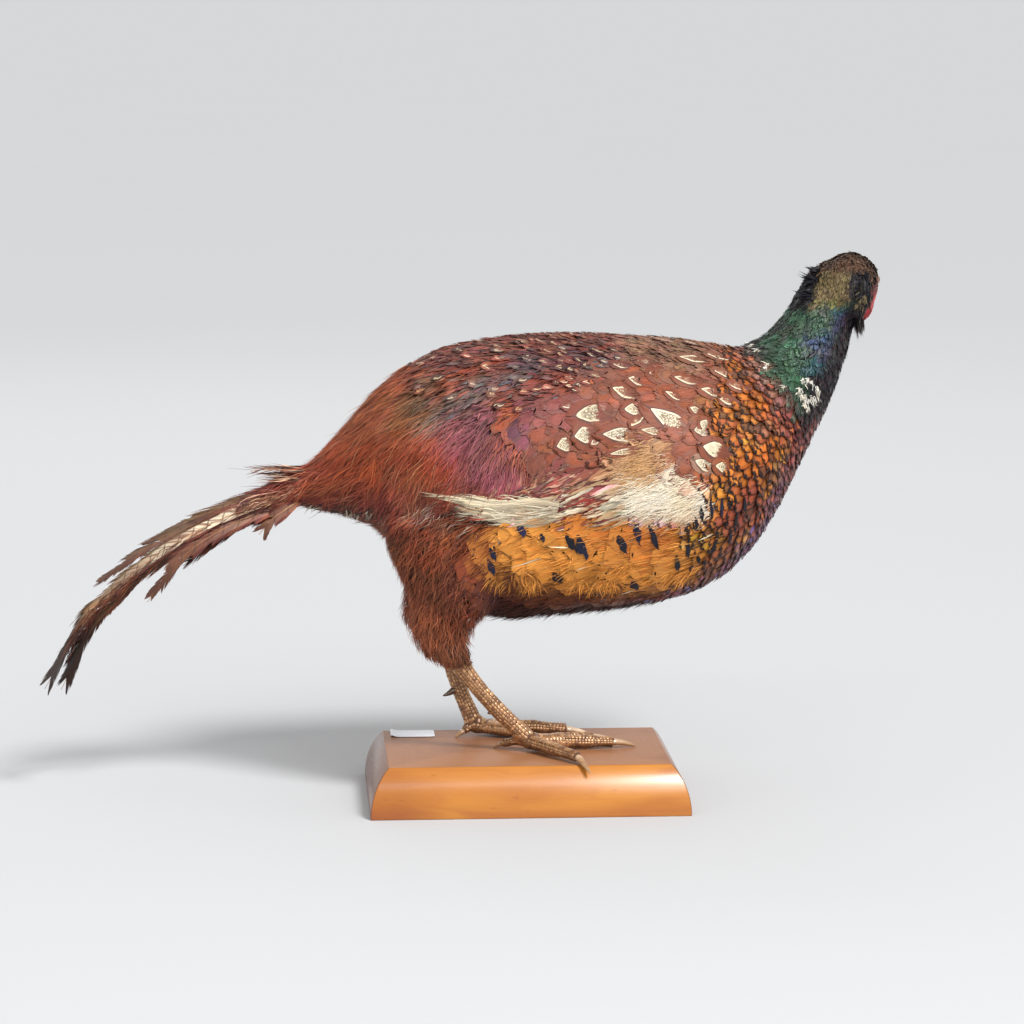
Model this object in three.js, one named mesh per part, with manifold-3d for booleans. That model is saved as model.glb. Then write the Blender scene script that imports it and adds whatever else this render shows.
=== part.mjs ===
// Taxidermy cock pheasant standing on a moulded wooden base.
// Millimetres, +Z up. +X is the way the bird faces, +Y is the bird's left.
// The origin is the middle of the underside of the base.
import * as THREE from 'three';
import { mergeVertices } from 'three/addons/utils/BufferGeometryUtils.js';
import Module from 'manifold-3d';

const wasm = await Module();
wasm.setup();

// ---- driving dimensions ----
const GAP = 0.3; // clearance left between neighbouring parts
const DEG = Math.PI / 180;

const BASE = { length: 180, width: 120, height: 31.5, flare: 12, crease: 35 * DEG, steps: 5 };
const LABEL = { length: 29, width: 22, thick: 0.6, x: -71, y: 47 };

const BODY_Y = 16; // the bird's middle plane, measured from the middle of the base

// Body outline, from the tail root forward: back line, belly line and half width.
const BODY = [
  { at: 'tail root', back: [-137, 216], belly: [-141, 190], half: 17 },
  { at: 'rump', back: [-118, 236], belly: [-121, 185], half: 30 },
  { at: 'loin', back: [-93, 265], belly: [-97, 176], half: 46 },
  { at: 'saddle', back: [-60, 288], belly: [-63, 141], half: 59 },
  { at: 'mid back', back: [-24, 297], belly: [-28, 116], half: 69 },
  { at: 'wing', back: [20, 300], belly: [18, 117], half: 75 },
  { at: 'mantle', back: [62, 299], belly: [62, 121], half: 78 },
  { at: 'shoulder', back: [100, 296], belly: [105, 129], half: 76 },
  { at: 'breast', back: [128, 292], belly: [140, 149.5], half: 69 },
  { at: 'upper breast', back: [142, 290], belly: [165, 186], half: 58 },
  { at: 'crop', back: [150, 294], belly: [185, 226], half: 43 },
  { at: 'neck root', back: [157, 297.5], belly: [198, 251], half: 31 },
  { at: 'lower neck', back: [168, 308.5], belly: [204.5, 268], half: 25.5 },
  { at: 'upper neck', back: [178, 323], belly: [210, 284], half: 22.5 },
  { at: 'nape', back: [184, 336], belly: [214, 298], half: 20 },
  { at: 'occiput', back: [196, 346], belly: [214, 314], half: 16 },
];
const NECK_ROOT = 11; // row of BODY where the neck is parted from the trunk
const NECK_SWAY = 5; // the nape stands this far to the left of the middle plane

const HEAD = { x: 214, y: 23, z: 330, turn: 67 * DEG, dip: 7 * DEG };
// Head outline in its own frame, from the nape to the root of the bill.
const SKULL = [
  { along: -25, top: 6, low: -12, half: 10 },
  { along: -18, top: 15, low: -21, half: 15.5 },
  { along: -7, top: 20.5, low: -26, half: 18 },
  { along: 5, top: 20, low: -26, half: 18 },
  { along: 14, top: 15, low: -21, half: 14.5 },
  { along: 21, top: 8.5, low: -12, half: 9 },
  { along: 25, top: 5, low: -7, half: 5.5 },
];
const BROW = 0.13; // the head is this much wider over the eyes than at the cheeks
const EYE = { radius: 5, along: 9, side: 13, up: 4 };
const BILL = { upperLength: 30, lowerLength: 24, upperDepth: 8.5, lowerDepth: 4.6, half: 5.4, hook: 7 };
const WATTLE = { along: 9, side: 9.5, up: -9, length: 12, thick: 7.5, height: 17 };
const EAR_TUFT = { length: 19, radius: 4.4, along: -9, side: 13, up: 6 };

const WING = { shoulder: 126, tip: -76, proud: 5, sunk: 2.5 };

// Legs: +1 is the bird's left, -1 its right.
const THIGH = [
  { mid: [-40, 184], long: 52, half: 27 },
  { mid: [-44, 164], long: 45, half: 26 },
  { mid: [-44, 146], long: 36, half: 24 },
  { mid: [-48, 128], long: 26, half: 20 },
  { mid: [-56, 112], long: 19, half: 16 },
  { mid: [-56, 99], long: 16, half: 12 },
  { mid: [-46, 88], long: 9.5, half: 7.5 },
];
const LEGS = {
  right: {
    out: -1,
    spurBack: 0.35,
    hip: -20,
    ankle: [-43, -18, 90],
    foot: [2, -14, 39],
    lift: 0,
    toes: [
      { n: 1, to: [-15, -6, 35], claw: [-20, -3, 31.8], girth: 3.2 },
      { n: 2, to: [45, 10, 35.6], claw: [60, 15, 32.4], girth: 4.1 },
      { n: 3, to: [58, -8, 35.8], claw: [72, -5, 32.4], girth: 4.3 },
      { n: 4, to: [31, -57, 36], claw: [37, -69, 28.5], girth: 4.2 },
    ],
  },
  left: {
    out: 1,
    spurBack: 0.8,
    hip: 52,
    ankle: [-50, 50, 96],
    foot: [-30, 40, 39],
    lift: 1,
    toes: [
      { n: 1, to: [-38, 36, 35], claw: [-43, 33, 31.8], girth: 3.2 },
      { n: 2, to: [4, 22, 35.6], claw: [17, 18, 32.4], girth: 4.1 },
      { n: 3, to: [31, 33, 36.2], claw: [46, 35, 32.4], girth: 4.3 },
      { n: 4, to: [3, 53, 35.6], claw: [16, 55, 32.4], girth: 4.2 },
    ],
  },
};
const TARSUS = { ankleLong: 6.8, ankleHalf: 5.6, shaftLong: 5.2, shaftHalf: 4.2, footLong: 6.2 };
const SPUR = { length: 13, radius: 3.2, at: 0.7 };

// Tail feathers: side and height at the tail root, two places along the quill, the tip,
// the greatest half width, and the roll that turns the upper face to the bird's right.
const TAIL = [
  { root: [15, 204], mid: [-215, 18, 172], late: [-278, 20, 124], tip: [-311, 22, 70], half: 7, roll: 45 },
  { root: [12, 199], mid: [-212, 13, 167], late: [-268, 12, 125], tip: [-295, 8, 72], half: 6.5, roll: 50 },
  { root: [21, 206], mid: [-208, 29, 178], late: [-250, 33, 156], tip: [-279, 36, 135], half: 7, roll: 25 },
  { root: [25, 206], mid: [-188, 33, 189], late: [-222, 39, 173], tip: [-247, 43, 159], half: 6.5, roll: 15 },
  { root: [8, 208], mid: [-172, 5, 195], late: [-199, 3, 184], tip: [-220, 1, 175], half: 6.5, roll: 40 },
  { root: [28, 207], mid: [-168, 36, 197], late: [-194, 41, 187], tip: [-213, 45, 179], half: 6.5, roll: 5 },
  { root: [8, 198], mid: [-190, 4, 178], late: [-222, 1, 157], tip: [-243, -2, 130], half: 6.5, roll: 60 },
  { root: [14, 196], mid: [-180, 9, 179], late: [-203, 8, 166], tip: [-220, 7, 152], half: 6, roll: 50 },
  { root: [8, 197], mid: [-153, 3, 189], late: [-163, 1, 182], tip: [-171, -1, 173], half: 6.5, roll: 60 },
  { root: [14, 210], mid: [-153, 11, 213], late: [-165, 9, 214], tip: [-176, 8, 213], half: 5, roll: 30 },
];
const VANE = 0.8; // half thickness of a tail feather at its middle
const TAIL_FRONT = -138.5;

// ---- materials ----
const paint = (colour, roughness) => new THREE.MeshStandardMaterial({ color: colour, roughness, metalness: 0 });
const LOOK = {
  plumage: [0x8a4a2c, 0.7], green: [0x1f4a3c, 0.45], wing: [0xb98a5c, 0.7], tailing: [0x8f7350, 0.75],
  thigh: [0x7d4726, 0.85], red: [0xc22f3c, 0.55], horn: [0xc9b795, 0.4], eye: [0x1a0f08, 0.05],
  scaly: [0xa9793f, 0.35], wood: [0xc07a3e, 0.3], paper: [0xf2f0ea, 0.8],
};

// ---- solids ----
function solidFrom(geometry) {
  geometry.deleteAttribute('normal');
  geometry.deleteAttribute('uv');
  const g = mergeVertices(geometry, 1e-4);
  const p = g.attributes.position;
  const index = Uint32Array.from(g.index.array);
  let volume = 0;
  const [a, b, c] = [new THREE.Vector3(), new THREE.Vector3(), new THREE.Vector3()];
  for (let i = 0; i < index.length; i += 3) {
    a.fromBufferAttribute(p, index[i]);
    b.fromBufferAttribute(p, index[i + 1]);
    c.fromBufferAttribute(p, index[i + 2]);
    volume += a.dot(b.cross(c));
  }
  if (volume < 0) {
    for (let i = 0; i < index.length; i += 3) [index[i + 1], index[i + 2]] = [index[i + 2], index[i + 1]];
  }
  const mesh = new wasm.Mesh({ numProp: 3, vertProperties: Float32Array.from(p.array), triVerts: index });
  mesh.merge();
  return new wasm.Manifold(mesh);
}

// A closed skin over a run of rings: shape(u, angle, r) places a point, r = 0 in the middle of an end.
function lofted(shape, around, along) {
  const g = new THREE.CylinderGeometry(1, 1, 1, around, along);
  const p = g.attributes.position;
  for (let i = 0; i < p.count; i += 1) {
    const u = 0.5 - p.getY(i);
    const q = shape(u, Math.atan2(p.getX(i), p.getZ(i)), Math.hypot(p.getX(i), p.getZ(i)));
    p.setXYZ(i, q.x, q.y, q.z);
  }
  return solidFrom(g);
}

// A ball pushed into another shape: shape(unit point) returns the placed point.
function moulded(shape, around, down) {
  const g = new THREE.SphereGeometry(1, around, down);
  const p = g.attributes.position;
  for (let i = 0; i < p.count; i += 1) {
    const q = shape(new THREE.Vector3().fromBufferAttribute(p, i));
    p.setXYZ(i, q.x, q.y, q.z);
  }
  return solidFrom(g);
}

const smoothLine = (points) => new THREE.CatmullRomCurve3(points, false, 'catmullrom', 0.5);
const mix = THREE.MathUtils.lerp;

// A round or flattened tube along a curve; girth(u) returns [half depth, half width].
function limb(curve, girth, sideways, around, along) {
  return lofted((u, angle, r) => {
    const mid = curve.getPoint(u);
    const way = curve.getTangent(u);
    const side = sideways.clone().addScaledVector(way, -sideways.dot(way)).normalize();
    const up = new THREE.Vector3().crossVectors(side, way).normalize();
    const [depth, width] = girth(u);
    return mid.addScaledVector(up, Math.cos(angle) * depth * r).addScaledVector(side, Math.sin(angle) * width * r);
  }, around, along);
}

// ---- trunk and neck ----
const backLine = smoothLine(BODY.map((s) => new THREE.Vector3(s.back[0], 0, s.back[1])));
const bellyLine = smoothLine(BODY.map((s) => new THREE.Vector3(s.belly[0], 0, s.belly[1])));
const halfLine = smoothLine(BODY.map((s, i) => new THREE.Vector3(s.half, 0, i)));
const LAST = BODY.length - 1;

function bodyPoint(row, angle, r, grow) {
  const t = row / LAST;
  const top = backLine.getPoint(t);
  const low = bellyLine.getPoint(t);
  const mid = top.clone().add(low).multiplyScalar(0.5);
  const up = top.clone().sub(low).multiplyScalar(0.5);
  const depth = up.length() + grow;
  up.normalize();
  const width = halfLine.getPoint(t).x + grow;
  const sway = NECK_SWAY * THREE.MathUtils.smoothstep(row, NECK_ROOT - 1, LAST);
  const across = Math.sin(angle) * (1 - 0.1 * Math.cos(angle));
  mid.addScaledVector(up, Math.cos(angle) * depth * r);
  mid.y = BODY_Y + sway + across * width * r;
  return mid;
}

const bodyRun = (from, to, grow, around, along) =>
  lofted((u, angle, r) => bodyPoint(mix(from, to, u), angle, r, grow), around, along);

const trunkWhole = bodyRun(0, NECK_ROOT - 0.02, 0, 26, 17);
const trunkRoom = bodyRun(0, NECK_ROOT, GAP, 26, 17);

function rowAt(x) {
  let [low, high] = [0, LAST];
  for (let i = 0; i < 30; i += 1) {
    const row = (low + high) / 2;
    if (bodyPoint(row, 0, 0, 0).x < x) low = row;
    else high = row;
  }
  return low;
}

// ---- head ----
const headPlace = new THREE.Matrix4().makeTranslation(HEAD.x, HEAD.y, HEAD.z)
  .multiply(new THREE.Matrix4().makeRotationZ(HEAD.turn))
  .multiply(new THREE.Matrix4().makeRotationY(HEAD.dip));
const onHead = (along, side, up) => new THREE.Vector3(along, side, up).applyMatrix4(headPlace);

const crownLine = smoothLine(SKULL.map((s) => new THREE.Vector3(s.along, 0, s.top)));
const chinLine = smoothLine(SKULL.map((s) => new THREE.Vector3(s.along, 0, s.low)));
const cheekLine = smoothLine(SKULL.map((s) => new THREE.Vector3(s.along, s.half, 0)));

function skull(grow) {
  return lofted((u, angle, r) => {
    const [top, low] = [crownLine.getPoint(u), chinLine.getPoint(u)];
    const middle = (top.z + low.z) / 2;
    const depth = (top.z - low.z) / 2 + grow;
    const width = cheekLine.getPoint(u).y + grow;
    const along = top.x + (u < 0.5 ? -grow : grow);
    const brow = 1 + BROW * Math.cos(angle);
    return onHead(along, Math.sin(angle) * width * brow * r, middle + Math.cos(angle) * depth * r);
  }, 18, 10);
}

function eyeBall(side, grow, around, down) {
  const radius = EYE.radius + grow;
  return moulded((p) => onHead(EYE.along + p.x * radius, side * EYE.side + p.z * radius, EYE.up + p.y * radius),
    around, down);
}

// Bare red face: a lobed pad over the cheek, deeper below the eye.
function facePad(side, grow) {
  return moulded((p) => {
    const low = p.y < 0 ? 1 : 0.78;
    const narrow = 1 - 0.28 * Math.max(0, -p.y);
    return onHead(
      WATTLE.along + p.x * (WATTLE.length * narrow + grow) + 2 * p.y,
      side * (WATTLE.side + p.z * (WATTLE.thick + grow)),
      WATTLE.up + p.y * (WATTLE.height * low + grow),
    );
  }, 14, 8);
}

function earTuft(side) {
  const curve = new THREE.QuadraticBezierCurve3(
    onHead(EAR_TUFT.along + 4, side * (EAR_TUFT.side - 3), EAR_TUFT.up - 3),
    onHead(EAR_TUFT.along - 5, side * (EAR_TUFT.side + 3), EAR_TUFT.up + 1),
    onHead(EAR_TUFT.along - EAR_TUFT.length * 0.7, side * (EAR_TUFT.side + 5), EAR_TUFT.up + 7),
  );
  const taper = (u) => EAR_TUFT.radius * (1 - 0.93 * u * u);
  return limb(curve, (u) => [taper(u), taper(u) * 0.7], new THREE.Vector3(0, 0, 1), 7, 4);
}

function mandible(upper, grow) {
  const length = upper ? BILL.upperLength : BILL.lowerLength;
  const depth = upper ? BILL.upperDepth : BILL.lowerDepth;
  const way = upper ? 1 : -1;
  return lofted((u, angle, r) => {
    const slim = 1 - 0.86 * u ** 1.4;
    const along = 17 + u * length;
    const drop = (upper ? BILL.hook : BILL.hook * 0.35) * u ** 2.2;
    const flat = Math.cos(angle) * way;
    const reach = flat > 0 ? depth * slim + grow : grow;
    const seam = way * (upper ? 0 : GAP);
    return onHead(along, Math.sin(angle) * (BILL.half * slim + grow) * r, -1.5 + seam - drop + way * flat * reach * r);
  }, 12, 6);
}

const headRoom = skull(GAP);
const neckRoom = bodyRun(NECK_ROOT, LAST, GAP, 18, 5);
const billRoom = mandible(true, GAP).add(mandible(false, GAP));

// ---- wings: folded, lying on the sides of the trunk ----
function foldedWing(side) {
  const rows = [rowAt(WING.shoulder), rowAt(WING.tip)];
  return moulded((p) => {
    const u = (1 - p.x) / 2;
    const row = mix(rows[0], rows[1], u);
    const centre = (84 - 16 * Math.sin(u * Math.PI * 0.8) + 26 * u * u) * DEG;
    const reach = (34 - 17 * u) * DEG * 1.15;
    const angle = side * (centre - p.y * reach);
    const lift = p.z > 0 ? WING.proud * p.z * (1 - 0.35 * u) : WING.sunk * p.z;
    return bodyPoint(row, angle, 1, lift);
  }, 16, 9).subtract(trunkRoom);
}

// ---- legs ----
function tarsusCurve(leg) {
  const [ankle, foot] = [new THREE.Vector3(...leg.ankle), new THREE.Vector3(...leg.foot)];
  const inside = ankle.clone().add(new THREE.Vector3(-9, leg.out * 1.5, 20));
  const middle = ankle.clone().lerp(foot, 0.5).add(new THREE.Vector3(-1.5, 0, -1));
  return smoothLine([inside, ankle, middle, foot]);
}

function tarsusGirth(u, grow) {
  const ankle = 1 - THREE.MathUtils.smoothstep(u, 0.25, 0.55);
  const foot = THREE.MathUtils.smoothstep(u, 0.82, 1);
  const depth = mix(TARSUS.shaftLong, TARSUS.ankleLong, ankle) + (TARSUS.footLong - TARSUS.shaftLong) * foot;
  return [depth + grow, mix(TARSUS.shaftHalf, TARSUS.ankleHalf, ankle) + foot + grow];
}

const ACROSS = new THREE.Vector3(0, 1, 0);
const UPWARD = new THREE.Vector3(0, 0, 1);
const tarsusSolid = (leg, grow) => limb(tarsusCurve(leg), (u) => tarsusGirth(u, grow), ACROSS, 12, 7);

const thighLine = smoothLine(THIGH.map((s) => new THREE.Vector3(s.mid[0], 0, s.mid[1])));
const thighSize = smoothLine(THIGH.map((s) => new THREE.Vector3(s.long, s.half, 0)));

function thighSolid(leg) {
  return lofted((u, angle, r) => {
    const mid = thighLine.getPoint(u);
    const size = thighSize.getPoint(u);
    const drop = THREE.MathUtils.smoothstep(u, 0.3, 1);
    const x = mid.x + (leg.ankle[0] + 46) * drop;
    const y = mix(leg.hip, leg.ankle[1], drop);
    const z = mid.z + (leg.ankle[2] - 90) * drop;
    return new THREE.Vector3(x + Math.sin(angle) * size.x * r, y + Math.cos(angle) * size.y * r, z);
  }, 14, 8).subtract(trunkRoom).subtract(tarsusSolid(leg, GAP));
}

function toeCurve(leg, toe) {
  const from = new THREE.Vector3(...leg.foot).add(new THREE.Vector3(0, 0, -1));
  const to = new THREE.Vector3(...toe.to);
  const arch = toe.n === 3 ? leg.lift : 0;
  const middle = from.clone().lerp(to, 0.5).add(new THREE.Vector3(0, 0, toe.n === 1 ? 1 : arch));
  return smoothLine([from, middle, to]);
}

// Toe with a swelling at each joint; the underside clears the wood.
function toeSolid(leg, toe, grow) {
  const joints = toe.n === 1 ? 1 : toe.n;
  return limb(toeCurve(leg, toe), (u) => {
    const pad = 1 + 0.09 * Math.cos(u * joints * 2 * Math.PI);
    const girth = toe.girth * (1.12 - 0.3 * u) * pad + grow;
    return [girth, girth * 1.06];
  }, UPWARD, 8, toe.n === 1 ? 2 : 6);
}

function clawSolid(toe, from, grow) {
  const tip = new THREE.Vector3(...toe.claw);
  const crest = from.clone().lerp(tip, 0.55).add(new THREE.Vector3(0, 0, 1.2));
  const curve = new THREE.QuadraticBezierCurve3(from, crest, tip);
  return limb(curve, (u) => {
    const girth = toe.girth * 0.62 * (1 - 0.9 * u ** 1.3) + grow;
    return [girth, girth * 0.8];
  }, UPWARD, 6, 4);
}

function spurSolid(leg) {
  const curve = tarsusCurve(leg);
  const root = curve.getPoint(SPUR.at);
  const tip = root.clone().add(new THREE.Vector3(-SPUR.length * leg.spurBack, -leg.out * 6, -5));
  const bow = root.clone().lerp(tip, 0.6).add(new THREE.Vector3(0, 0, -1.5));
  return limb(new THREE.QuadraticBezierCurve3(root, bow, tip), (u) => {
    const girth = SPUR.radius * (1 - 0.88 * u);
    return [girth, girth];
  }, UPWARD, 7, 3).subtract(tarsusSolid(leg, GAP));
}

// ---- tail ----
function tailFeather(f) {
  const root = new THREE.Vector3(TAIL_FRONT, ...f.root);
  const curve = smoothLine([root, ...[f.mid, f.late, f.tip].map((p) => new THREE.Vector3(...p))]);
  const across = new THREE.Vector3(0, Math.cos(f.roll * DEG), Math.sin(f.roll * DEG));
  return limb(curve, (u) => {
    const wide = f.half * Math.min(1, 0.55 + u * 2.2) * (1 - 0.85 * Math.max(0, (u - 0.6) / 0.4) ** 1.6);
    return [VANE * (1 - 0.3 * u), wide];
  }, across, 6, 6);
}

function tailRoot() {
  return lofted((u, angle, r) => {
    const slim = 1 - 0.62 * u * u;
    const x = TAIL_FRONT - 2.2 + Math.cos(angle) * -2 * (1 - u) * r - u * 34;
    const z = 203 - u * 17 + Math.cos(angle) * 12.5 * slim * r;
    return new THREE.Vector3(x, BODY_Y + Math.sin(angle) * 16.5 * slim * r, z);
  }, 12, 4);
}

// ---- base ----
function baseSolid() {
  const last = BASE.steps;
  const g = new THREE.BoxGeometry(1, 1, 1, 1, 1, last);
  const p = g.attributes.position;
  for (let i = 0; i < p.count; i += 1) {
    const swing = mix(Math.PI / 2, BASE.crease, p.getZ(i) + 0.5);
    const out = (BASE.flare * (Math.sin(swing) - Math.sin(BASE.crease))) / (1 - Math.sin(BASE.crease));
    p.setXYZ(
      i,
      Math.sign(p.getX(i)) * (BASE.length / 2 + out),
      Math.sign(p.getY(i)) * (BASE.width / 2 + out),
      (BASE.height * Math.cos(swing)) / Math.cos(BASE.crease),
    );
  }
  return solidFrom(g);
}

// ---- assembly ----
const group = new THREE.Group();
group.name = 'pheasant';

function place(name, solid, look) {
  const m = solid.getMesh();
  const g = new THREE.BufferGeometry();
  g.setAttribute('position', new THREE.BufferAttribute(Float32Array.from(m.vertProperties), 3));
  g.setIndex(new THREE.BufferAttribute(Uint32Array.from(m.triVerts), 1));
  g.computeVertexNormals();
  const mesh = new THREE.Mesh(g, paint(...LOOK[look]));
  mesh.name = name;
  group.add(mesh);
}

place('trunk', trunkWhole, 'plumage');
place('neck', bodyRun(NECK_ROOT + 0.02, LAST, 0, 18, 5).subtract(headRoom), 'green');

let head = skull(0).subtract(billRoom);
for (const [word, side] of [['left', 1], ['right', -1]]) {
  const eyeRoom = eyeBall(side, GAP, 11, 7);
  head = head.subtract(eyeRoom);
  place(`eye_${word}`, eyeBall(side, 0, 11, 7), 'eye');
  place(`wattle_${word}`, facePad(side, 0).subtract(headRoom).subtract(neckRoom).subtract(eyeRoom).subtract(billRoom), 'red');
  place(`ear_tuft_${word}`, earTuft(side).subtract(headRoom).subtract(neckRoom), 'green');
  place(`wing_${word}`, foldedWing(side), 'wing');
}
place('head', head, 'green');
place('bill_upper', mandible(true, 0), 'horn');
place('bill_lower', mandible(false, 0).subtract(mandible(true, GAP)), 'horn');

for (const [word, leg] of Object.entries(LEGS)) {
  place(`thigh_${word}`, thighSolid(leg), 'thigh');
  let foot = null;
  for (const toe of leg.toes) {
    const solid = toeSolid(leg, toe, 0);
    foot = foot ? foot.add(solid) : solid;
  }
  const tarsus = tarsusSolid(leg, 0);
  for (const toe of leg.toes) {
    const root = toeCurve(leg, toe).getPoint(0.97);
    foot = foot.subtract(clawSolid(toe, root, GAP));
    place(`claw_${word}_${toe.n}`, clawSolid(toe, root, 0), 'horn');
  }
  place(`foot_${word}`, foot.subtract(tarsusSolid(leg, GAP)), 'scaly');
  place(`tarsus_${word}`, tarsus, 'scaly');
  place(`spur_${word}`, spurSolid(leg), 'horn');
}

let tail = tailRoot();
for (const f of TAIL) tail = tail.add(tailFeather(f));
place('tail', tail.subtract(trunkRoom), 'tailing');

place('base', baseSolid(), 'wood');
const label = new THREE.BoxGeometry(LABEL.length, LABEL.width, LABEL.thick);
label.translate(LABEL.x, LABEL.y, BASE.height + GAP + LABEL.thick / 2);
place('label', solidFrom(label), 'paper');

export default group;
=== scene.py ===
import itertools
import math

import bmesh
import bpy
import numpy as np
from bpy.props import FloatProperty, FloatVectorProperty, PointerProperty
from mathutils import Matrix, Vector
from mathutils.bvhtree import BVHTree
from mathutils.kdtree import KDTree


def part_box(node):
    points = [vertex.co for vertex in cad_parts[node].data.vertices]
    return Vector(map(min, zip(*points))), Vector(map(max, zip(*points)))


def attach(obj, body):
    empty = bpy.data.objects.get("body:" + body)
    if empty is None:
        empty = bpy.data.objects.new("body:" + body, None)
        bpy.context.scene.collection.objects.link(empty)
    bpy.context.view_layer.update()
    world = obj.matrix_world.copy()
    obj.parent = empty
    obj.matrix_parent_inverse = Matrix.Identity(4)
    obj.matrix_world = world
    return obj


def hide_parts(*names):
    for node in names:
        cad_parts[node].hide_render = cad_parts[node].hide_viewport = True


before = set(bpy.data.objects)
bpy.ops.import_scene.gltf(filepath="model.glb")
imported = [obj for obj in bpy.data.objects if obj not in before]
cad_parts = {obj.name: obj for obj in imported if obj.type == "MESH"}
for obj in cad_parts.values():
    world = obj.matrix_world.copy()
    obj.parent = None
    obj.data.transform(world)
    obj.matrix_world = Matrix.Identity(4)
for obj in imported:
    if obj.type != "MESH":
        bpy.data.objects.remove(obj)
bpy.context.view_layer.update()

bl_info = {
    "name": "Mounted cock pheasant",
    "version": (1, 0, 0),
    "blender": (4, 5, 0),
    "location": "View3D > Sidebar > Pheasant",
    "description": "Builds the plumage, head, feet, tail and wooden base of a mounted pheasant",
    "category": "Object",
}

MM = 0.001
MIDDLE = 16 * MM  # the bird's middle plane
HEAD_PLACE = (
    Matrix.Translation(Vector((214, 23, 330)) * MM)
    @ Matrix.Rotation(math.radians(67), 4, "Z")
    @ Matrix.Rotation(math.radians(7), 4, "Y")
)
HEAD_TURN = np.array(HEAD_PLACE.to_3x3())
HEAD_MID = np.array(HEAD_PLACE.translation)
EYE = dict(radius=5 * MM, along=9 * MM, side=13 * MM, up=4 * MM)
WATTLE = dict(along=9 * MM, side=9.5 * MM, up=-9 * MM, length=12 * MM, thick=7.5 * MM, height=17 * MM)
BILL = dict(root=17 * MM, upper=30 * MM, lower=24 * MM, depth=8.5 * MM, jaw=4.6 * MM, half=5.4 * MM,
            hook=7 * MM)
BASE = dict(length=180 * MM, width=120 * MM, height=31.5 * MM, flare=12 * MM, crease=math.radians(35))

LEGS = {
    "right": dict(out=-1, ankle=(-43, -18, 90), foot=(2, -14, 39), lift=0, toes={
        1: ((-15, -6, 35), 3.2), 2: ((45, 10, 35.6), 4.1), 3: ((58, -8, 35.8), 4.3),
        4: ((31, -57, 36), 4.2)}),
    "left": dict(out=1, ankle=(-50, 50, 96), foot=(-30, 40, 39), lift=1, toes={
        1: ((-38, 36, 35), 3.2), 2: ((4, 22, 35.6), 4.1), 3: ((31, 33, 36.2), 4.3),
        4: ((3, 53, 35.6), 4.2)}),
}
# Tail feathers: side and height at the root, two places along the quill, the tip, half width, roll.
TAIL_FRONT = -138.5
TAIL = [
    dict(root=(9, 203), mid=(-215, 9, 172), late=(-278, 13, 124), tip=(-311, 20, 70), half=7, roll=45),
    dict(root=(12, 199), mid=(-212, 13, 168), late=(-272, 14, 122), tip=(-300, 11, 71), half=6.5, roll=50),
    dict(root=(21, 206), mid=(-208, 29, 178), late=(-250, 33, 156), tip=(-279, 36, 135), half=7, roll=25),
    dict(root=(25, 206), mid=(-188, 33, 189), late=(-222, 39, 173), tip=(-247, 43, 159), half=6.5, roll=15),
    dict(root=(18, 208), mid=(-172, 18, 196), late=(-199, 18, 186), tip=(-220, 17, 178), half=6.5, roll=30),
    dict(root=(28, 207), mid=(-168, 36, 197), late=(-194, 41, 187), tip=(-213, 45, 179), half=6.5, roll=5),
    dict(root=(8, 198), mid=(-190, 4, 178), late=(-222, 1, 157), tip=(-243, -2, 130), half=6.5, roll=60),
    dict(root=(14, 196), mid=(-180, 9, 179), late=(-203, 8, 166), tip=(-220, 7, 152), half=6, roll=50),
    dict(root=(8, 197), mid=(-153, 3, 189), late=(-163, 1, 182), tip=(-171, -1, 173), half=6.5, roll=60),
    dict(root=(14, 210), mid=(-153, 11, 213), late=(-165, 9, 214), tip=(-176, 8, 213), half=5, roll=30),
]

SIDES = (-1, 1)
COAT_END = 92 * MM  # the plumage stops here, above the bare legs
HEAD_REACH = 32 * MM
SOWN = dict(body=260000, head=900000, face=1500000)
CAMERA = dict(place=(-0.16047, -2.34636, 0.51263), way=(0.06426, 0.98840, -0.13762), lens=129.375,
              sensor=36)
# Soft lamps: name, place, what they face, size, power against the key light.
LAMPS = [
    ("key", (1.0, -2.0, 1.7), (0, 0, 0.2), (0.9, 0.9), 1),
    ("fill", (-1.9, -1.5, 1.0), (0, 0, 0.15), (1.6, 1.6), 0.3),
    ("rim", (-0.4, 2.2, 1.9), (0, 0, 0.2), (1.4, 1.4), 0.5),
    ("strip", (0.3, -1.5, 1.6), (0, 0, 0.02), (2.2, 0.3), 0.5),
]
# What earlier operators leave for later ones: surfaces, sown places with their plumage, materials.
MADE = {}


def dye(r, g, b):
    """A colour as linear light, from its 0 to 255 values."""
    return tuple(((c / 255 + 0.055) / 1.055) ** 2.4 if c > 10 else c / 255 / 12.92 for c in (r, g, b))


DYE = dict(
    gold=dye(208, 138, 58), amber=dye(184, 106, 42), sienna=dye(168, 86, 38), rust=dye(142, 64, 34),
    chestnut=dye(148, 80, 56), maroon=dye(104, 46, 36), mauve=dye(128, 70, 68), lilac=dye(138, 74, 92),
    plum=dye(80, 44, 54), ink=dye(16, 16, 24), blueblack=dye(24, 27, 54), umber=dye(62, 38, 26),
    bark=dye(122, 88, 66),
    cream=dye(232, 216, 180), bone=dye(222, 210, 184), down=dye(236, 226, 204), tan=dye(196, 154, 108),
    olive=dye(116, 100, 66), moss=dye(122, 124, 70), green=dye(66, 116, 84), teal=dye(42, 98, 110),
    blue=dye(46, 72, 124), violet=dye(92, 76, 130), soot=dye(24, 20, 24), white=dye(240, 238, 230),
    grey=dye(118, 112, 102), buff=dye(206, 164, 130), rufous=dye(146, 80, 50), slate=dye(84, 104, 102),
    wine=dye(122, 54, 44), fog=dye(74, 86, 72), dusk=dye(120, 80, 68), clay=dye(160, 88, 54),
    brick=dye(138, 52, 32),
    sepia=dye(92, 68, 52),
)
DYE = {name: np.array(colour) for name, colour in DYE.items()}


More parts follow.
